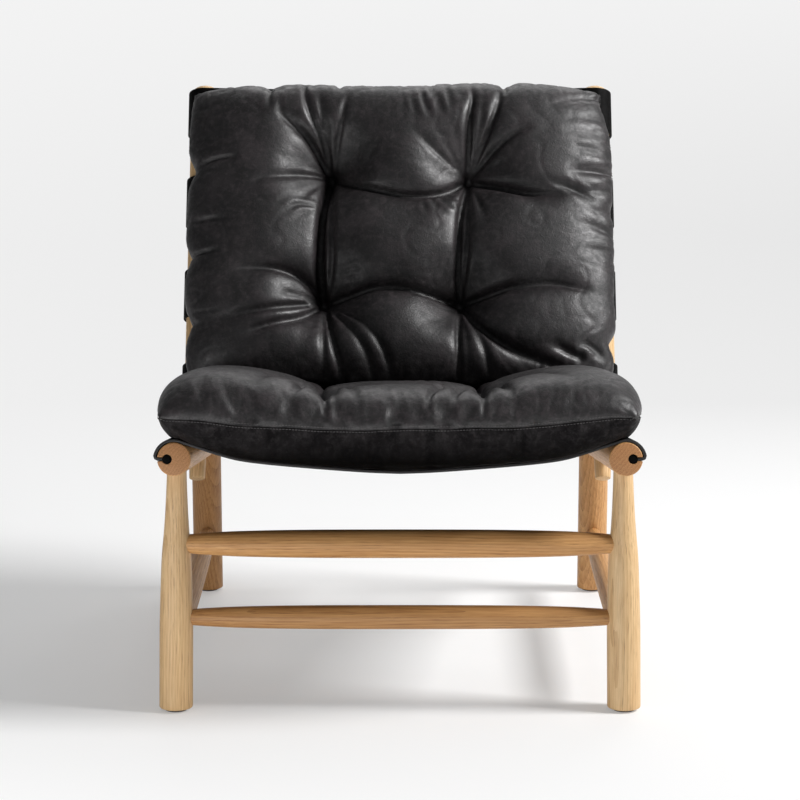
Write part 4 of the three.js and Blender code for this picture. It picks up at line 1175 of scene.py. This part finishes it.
SEAT_CUSHION = {
    "half_width": 0.329, "start": -0.046, "length": 0.486, "seam": 0.040, "seam_rise": 0.017,
    "crown": 0.055, "under_crown": 0.066, "side_fullness": 0.84, "end_squash": 0.16,
    "top_corner_share": 0.035, "right_corner_share": 0.05, "pinches": [], "end_pinches": [],
    "tufts": SEAT_TUFTS, "tuft_depth": 0.056, "tuft_breadths": [0.84] * 4, "folds": SEAT_FOLDS,
    "slack": 0.030, "flat_share": 0.12, "crumple": 0.6, "gather": 1, "calm": [],
}
BACK_CUSHION = {
    "half_width": 0.322, "start": 0.066, "length": 0.4835,
    "seam": TAB_RADIUS + BACK_LEATHER / 2 + 0.046, "seam_rise": 0,
    "crown": 0.062, "under_crown": 0.058, "side_fullness": 0.06, "end_squash": 0,
    "top_corner_share": 0.062, "right_corner_share": 0.035,
    "pinches": [(-1, 0.405, 0.013, 0.020), (-1, 0.265, 0.010, 0.019), (-1, 0.160, 0.012, 0.022),
                (1, 0.131, 0.009, 0.014), (1, 0.341, 0.004, 0.012), (1, 0.200, 0.003, 0.010),
                (1, 0.512, 0.011, 0.036)],
    "end_pinches": [(-0.195, 0.009, 0.014), (0.157, 0.009, 0.013), (-0.092, 0.003, 0.010), (0.0, 0.007, 0.075),
                    (-0.15, 0.003, 0.12)],
    "tufts": BACK_TUFTS, "tuft_depth": 0.050, "tuft_breadths": [0.84, 0.62, 0.84, 0.84], "folds": BACK_FOLDS,
    "slack": 0.038, "flat_share": 0.15, "crumple": 1.0, "gather": 0.5, "calm": [(0.198, 0.165, 0.046)],
}

STITCH_PITCH = 0.0042
STITCH_LENGTH = 0.0033
STITCH_RADIUS = 0.00048
STITCH_AWAY = 0.0027
STITCH_SIDES = 6
STITCH_RINGS = [(0, 0.35, -0.6), (0.12, 0.85, 0.1), (0.5, 1, 0.55), (0.88, 0.85, 0.1), (1, 0.35, -0.6)]


def stitch_mesh(path, normals):
    """A row of stitches along a closed path that lies on the leather."""
    lengths = lengths_along(path)

    def at(values, place):
        return np.array([np.interp(place, lengths, values[:, axis]) for axis in range(3)])

    vertices, faces = [], []
    stitch_faces = closed_faces(len(STITCH_RINGS), STITCH_SIDES)
    for index in range(int(lengths[-1] / STITCH_PITCH)):
        faces += [tuple(len(vertices) + corner for corner in face) for face in stitch_faces]
        for share, width, rise in STITCH_RINGS:
            place = index * STITCH_PITCH + STITCH_LENGTH * share
            centre, up = at(path, place), at(normals, place)
            across = np.cross(at(path, place + 0.0005) - centre, up)
            across /= max(np.linalg.norm(across), 1e-9)
            up /= max(np.linalg.norm(up), 1e-9)
            for step in range(STITCH_SIDES):
                angle = math.pi / 3 * step
                offset = across * math.cos(angle) + up * (math.sin(angle) + rise)
                vertices.append(tuple(centre + offset * STITCH_RADIUS * width))
    return vertices, faces


def around(grid):
    """The outermost points of a grid in order, from a corner and back to it."""
    return np.concatenate([grid[0, :], grid[1:, -1], grid[-1, -2::-1], grid[-2::-1, 0]])


def add_seam(name, points, place):
    """Two rows of topstitching, one on each side of a cushion's seam."""
    rows, columns = points.shape[1:3]
    edge = around(np.stack(np.mgrid[0:rows, 0:columns], -1))
    inner = tuple(np.clip(edge, 1, (rows - 2, columns - 2)).T)
    vertices, faces = [], []
    for grid, normals in zip(points, grid_normals(points)):
        seam = around(grid)
        inwards = grid[inner] - seam
        row = seam + inwards * (STITCH_AWAY / np.linalg.norm(inwards, axis=1, keepdims=True))
        fresh, fresh_faces = stitch_mesh(row.astype(float), normals[inner].astype(float))
        faces += [tuple(corner + len(vertices) for corner in face) for face in fresh_faces]
        vertices += fresh
    finish_piece(make_object(name, vertices, faces, place), [thread])


def make_cushion(name, size, place, clear):
    points, flat_x, flat_y = cushion_form(size)
    clear(points)
    points = settle_cover(points, flat_x, flat_y, size, clear)
    crumple(points, size)
    clear(points)
    vertices, faces = cushion_mesh(points)
    cushion = make_object(name, vertices, faces, place)
    under = np.arange(len(faces)) >= len(faces) // 2
    cushion.data.polygons.foreach_set("material_index", under.astype(np.int32))
    return cushion, points


def rest_back_on_seat(back, seat):
    """Keeps the back cushion's lower end on top of the seat cushion."""
    tree = BVHTree.FromObject(seat, bpy.context.evaluated_depsgraph_get())
    to_seat = seat.matrix_world.inverted() @ back.matrix_world
    from_seat = to_seat.inverted()
    for vertex in back.data.vertices:
        if vertex.co.y > 0.20:
            continue
        local = to_seat @ vertex.co
        place, normal, _, _ = tree.find_nearest(local)
        if (local - place).dot(normal) < CUSHION_CLEARANCE:
            vertex.co = from_seat @ (place + normal * CUSHION_CLEARANCE)


def add_cushions():
    leathers = [cushion_leather, under_leather]
    seat, seat_points = make_cushion("seat_cushion_cover", SEAT_CUSHION, SEAT, clear_seat)
    add_seam("seat_cushion_stitching", seat_points, SEAT)
    finish_piece(seat, leathers, ["seat_cushion"])
    back, back_points = make_cushion("back_cushion_cover", BACK_CUSHION, CUSHION_BACK, clear_back)
    rest_back_on_seat(back, seat)
    rested = np.array([vertex.co for vertex in back.data.vertices])
    grid = back_points[0].size // 3
    back_points[:] = rested[:grid].reshape(back_points[0].shape)
    inside = back_points[1][1:-1, 1:-1]
    inside[:] = rested[grid:].reshape(inside.shape)
    add_seam("back_cushion_stitching", back_points, CUSHION_BACK)
    finish_piece(back, leathers, ["back_cushion"])


# Stage and light

PALE = (0.90, 0.90, 0.90, 1)
WALL_START = 4.9
SWEEP_RADIUS = 1.4
SWEEP_STEPS = 16
# The wall's colour as the camera sees it darkens to the right and lightens towards the top: painted shading of the
# backdrop
WALL_LEFT = (0.882, 0.882, 0.882, 1)
WALL_RIGHT = (0.818, 0.818, 0.818, 1)
WALL_TOP = (0.942, 0.942, 0.942, 1)
FLOOR_SEEN = (1, 1, 1, 1)
FLOOR_SEEN_SHARE = 0.31
NEAR_SEEN_SHARE = 0.40  # added in front of the chair
WALL_SEEN_SHARE = 0.94
SKY = (0.96, 0.98, 1, 1)
SKY_LIGHT = 0.13
SKY_SEEN = 0.82
LIGHTS = [  # name, place, target, size, power
    ("key", (4.7, -0.9, 4.3), (0, 0.1, 0.3), (1.7, 1.7), 465),
    ("front", (-2.6, -2.9, 0.2), (0, 0, 0.25), (2.4, 0.36), 14),
    ("bounce", (-0.55, -1.1, 0.03), (-0.1, -0.3, 0.2), (1.4, 0.12), 4.2),
    ("rear", (0.3, 1.7, 2.3), (0, 0.3, 0.4), (2.0, 1.2), 18),
]


def add_stage():
    """A seamless paper sweep: a floor that curves up into a wall."""
    rows = [(-8.0, 0.0), (WALL_START, 0.0)]
    for step in range(1, SWEEP_STEPS + 1):
        angle = math.pi / 2 * step / SWEEP_STEPS
        rows.append((WALL_START + SWEEP_RADIUS * math.sin(angle), SWEEP_RADIUS * (1 - math.cos(angle))))
    rows.append((WALL_START + SWEEP_RADIUS, 8.0))
    vertices = [(x, y, z) for y, z in rows for x in (-9, 9)]
    sweep = make_object("sweep", vertices, band_faces(len(rows), 2, closed=False))
    n = Nodes("sweep_paper")
    n.set(Base_Color=PALE, Roughness=0.75, Specular_IOR_Level=0.2)
    seen = n.add("LightPath").outputs["Is Camera Ray"]
    x, y, z = n.add("SeparateXYZ", {0: n.place()}).outputs
    share = n.span(y, 0.4, 2.0, FLOOR_SEEN_SHARE, WALL_SEEN_SHARE)
    share = n.math("ADD", share, n.span(y, -0.75, -0.33, NEAR_SEEN_SHARE, 0))
    # Painted shading of the backdrop: darker to the right, lighter at the top
    wall = n.mix(n.span(x, -1.35, 1.35), WALL_LEFT, WALL_RIGHT)
    wall = n.mix(n.span(z, 0.0, 0.75, 0, 0.7), wall, WALL_TOP)
    glow = n.add("Emission", {"Color": n.mix(n.span(y, 0.4, 2.0), FLOOR_SEEN, wall), "Strength": 1.0})
    mixed = n.add("MixShader", {0: n.math("MULTIPLY", seen, share), 1: n.shader.outputs[0], 2: glow.outputs[0]})
    n.tree.links.new(mixed.outputs[0], n.tree.nodes["Material Output"].inputs["Surface"])
    sweep.data.materials.append(n.material)


def add_lights():
    world = bpy.data.worlds.new("studio")
    world.use_nodes = True
    nodes, links = world.node_tree.nodes, world.node_tree.links
    background = nodes["Background"]
    background.inputs["Color"].default_value = SKY
    strength = nodes.new("ShaderNodeMapRange")
    strength.inputs["To Min"].default_value = SKY_LIGHT
    strength.inputs["To Max"].default_value = SKY_SEEN
    links.new(nodes.new("ShaderNodeLightPath").outputs["Is Camera Ray"], strength.inputs["Value"])
    links.new(strength.outputs[0], background.inputs["Strength"])
    bpy.context.scene.world = world
    for name, place, target, size, power in LIGHTS:
        data = bpy.data.lights.new(name, "AREA")
        data.shape = "RECTANGLE"
        data.size, data.size_y = size
        data.energy = power
        light = bpy.data.objects.new(name, data)
        turn = (Vector(place) - Vector(target)).to_track_quat("Z", "Y").to_matrix().to_4x4()
        light.matrix_world = Matrix.Translation(place) @ turn
        bpy.context.scene.collection.objects.link(light)


add_camera()
add_stage()
add_lights()
add_legs()
add_rails()
add_posts()
add_stretchers()

add_seat_sling()
add_back_sling()
add_rivets()
add_glides()
add_cushions()

for name in SIDES:
    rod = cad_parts[f"sling_rod_{name}"]
    rod.data.materials.clear()
    rod.data.materials.append(steel)

bpy.context.scene.view_settings.view_transform = "Standard"
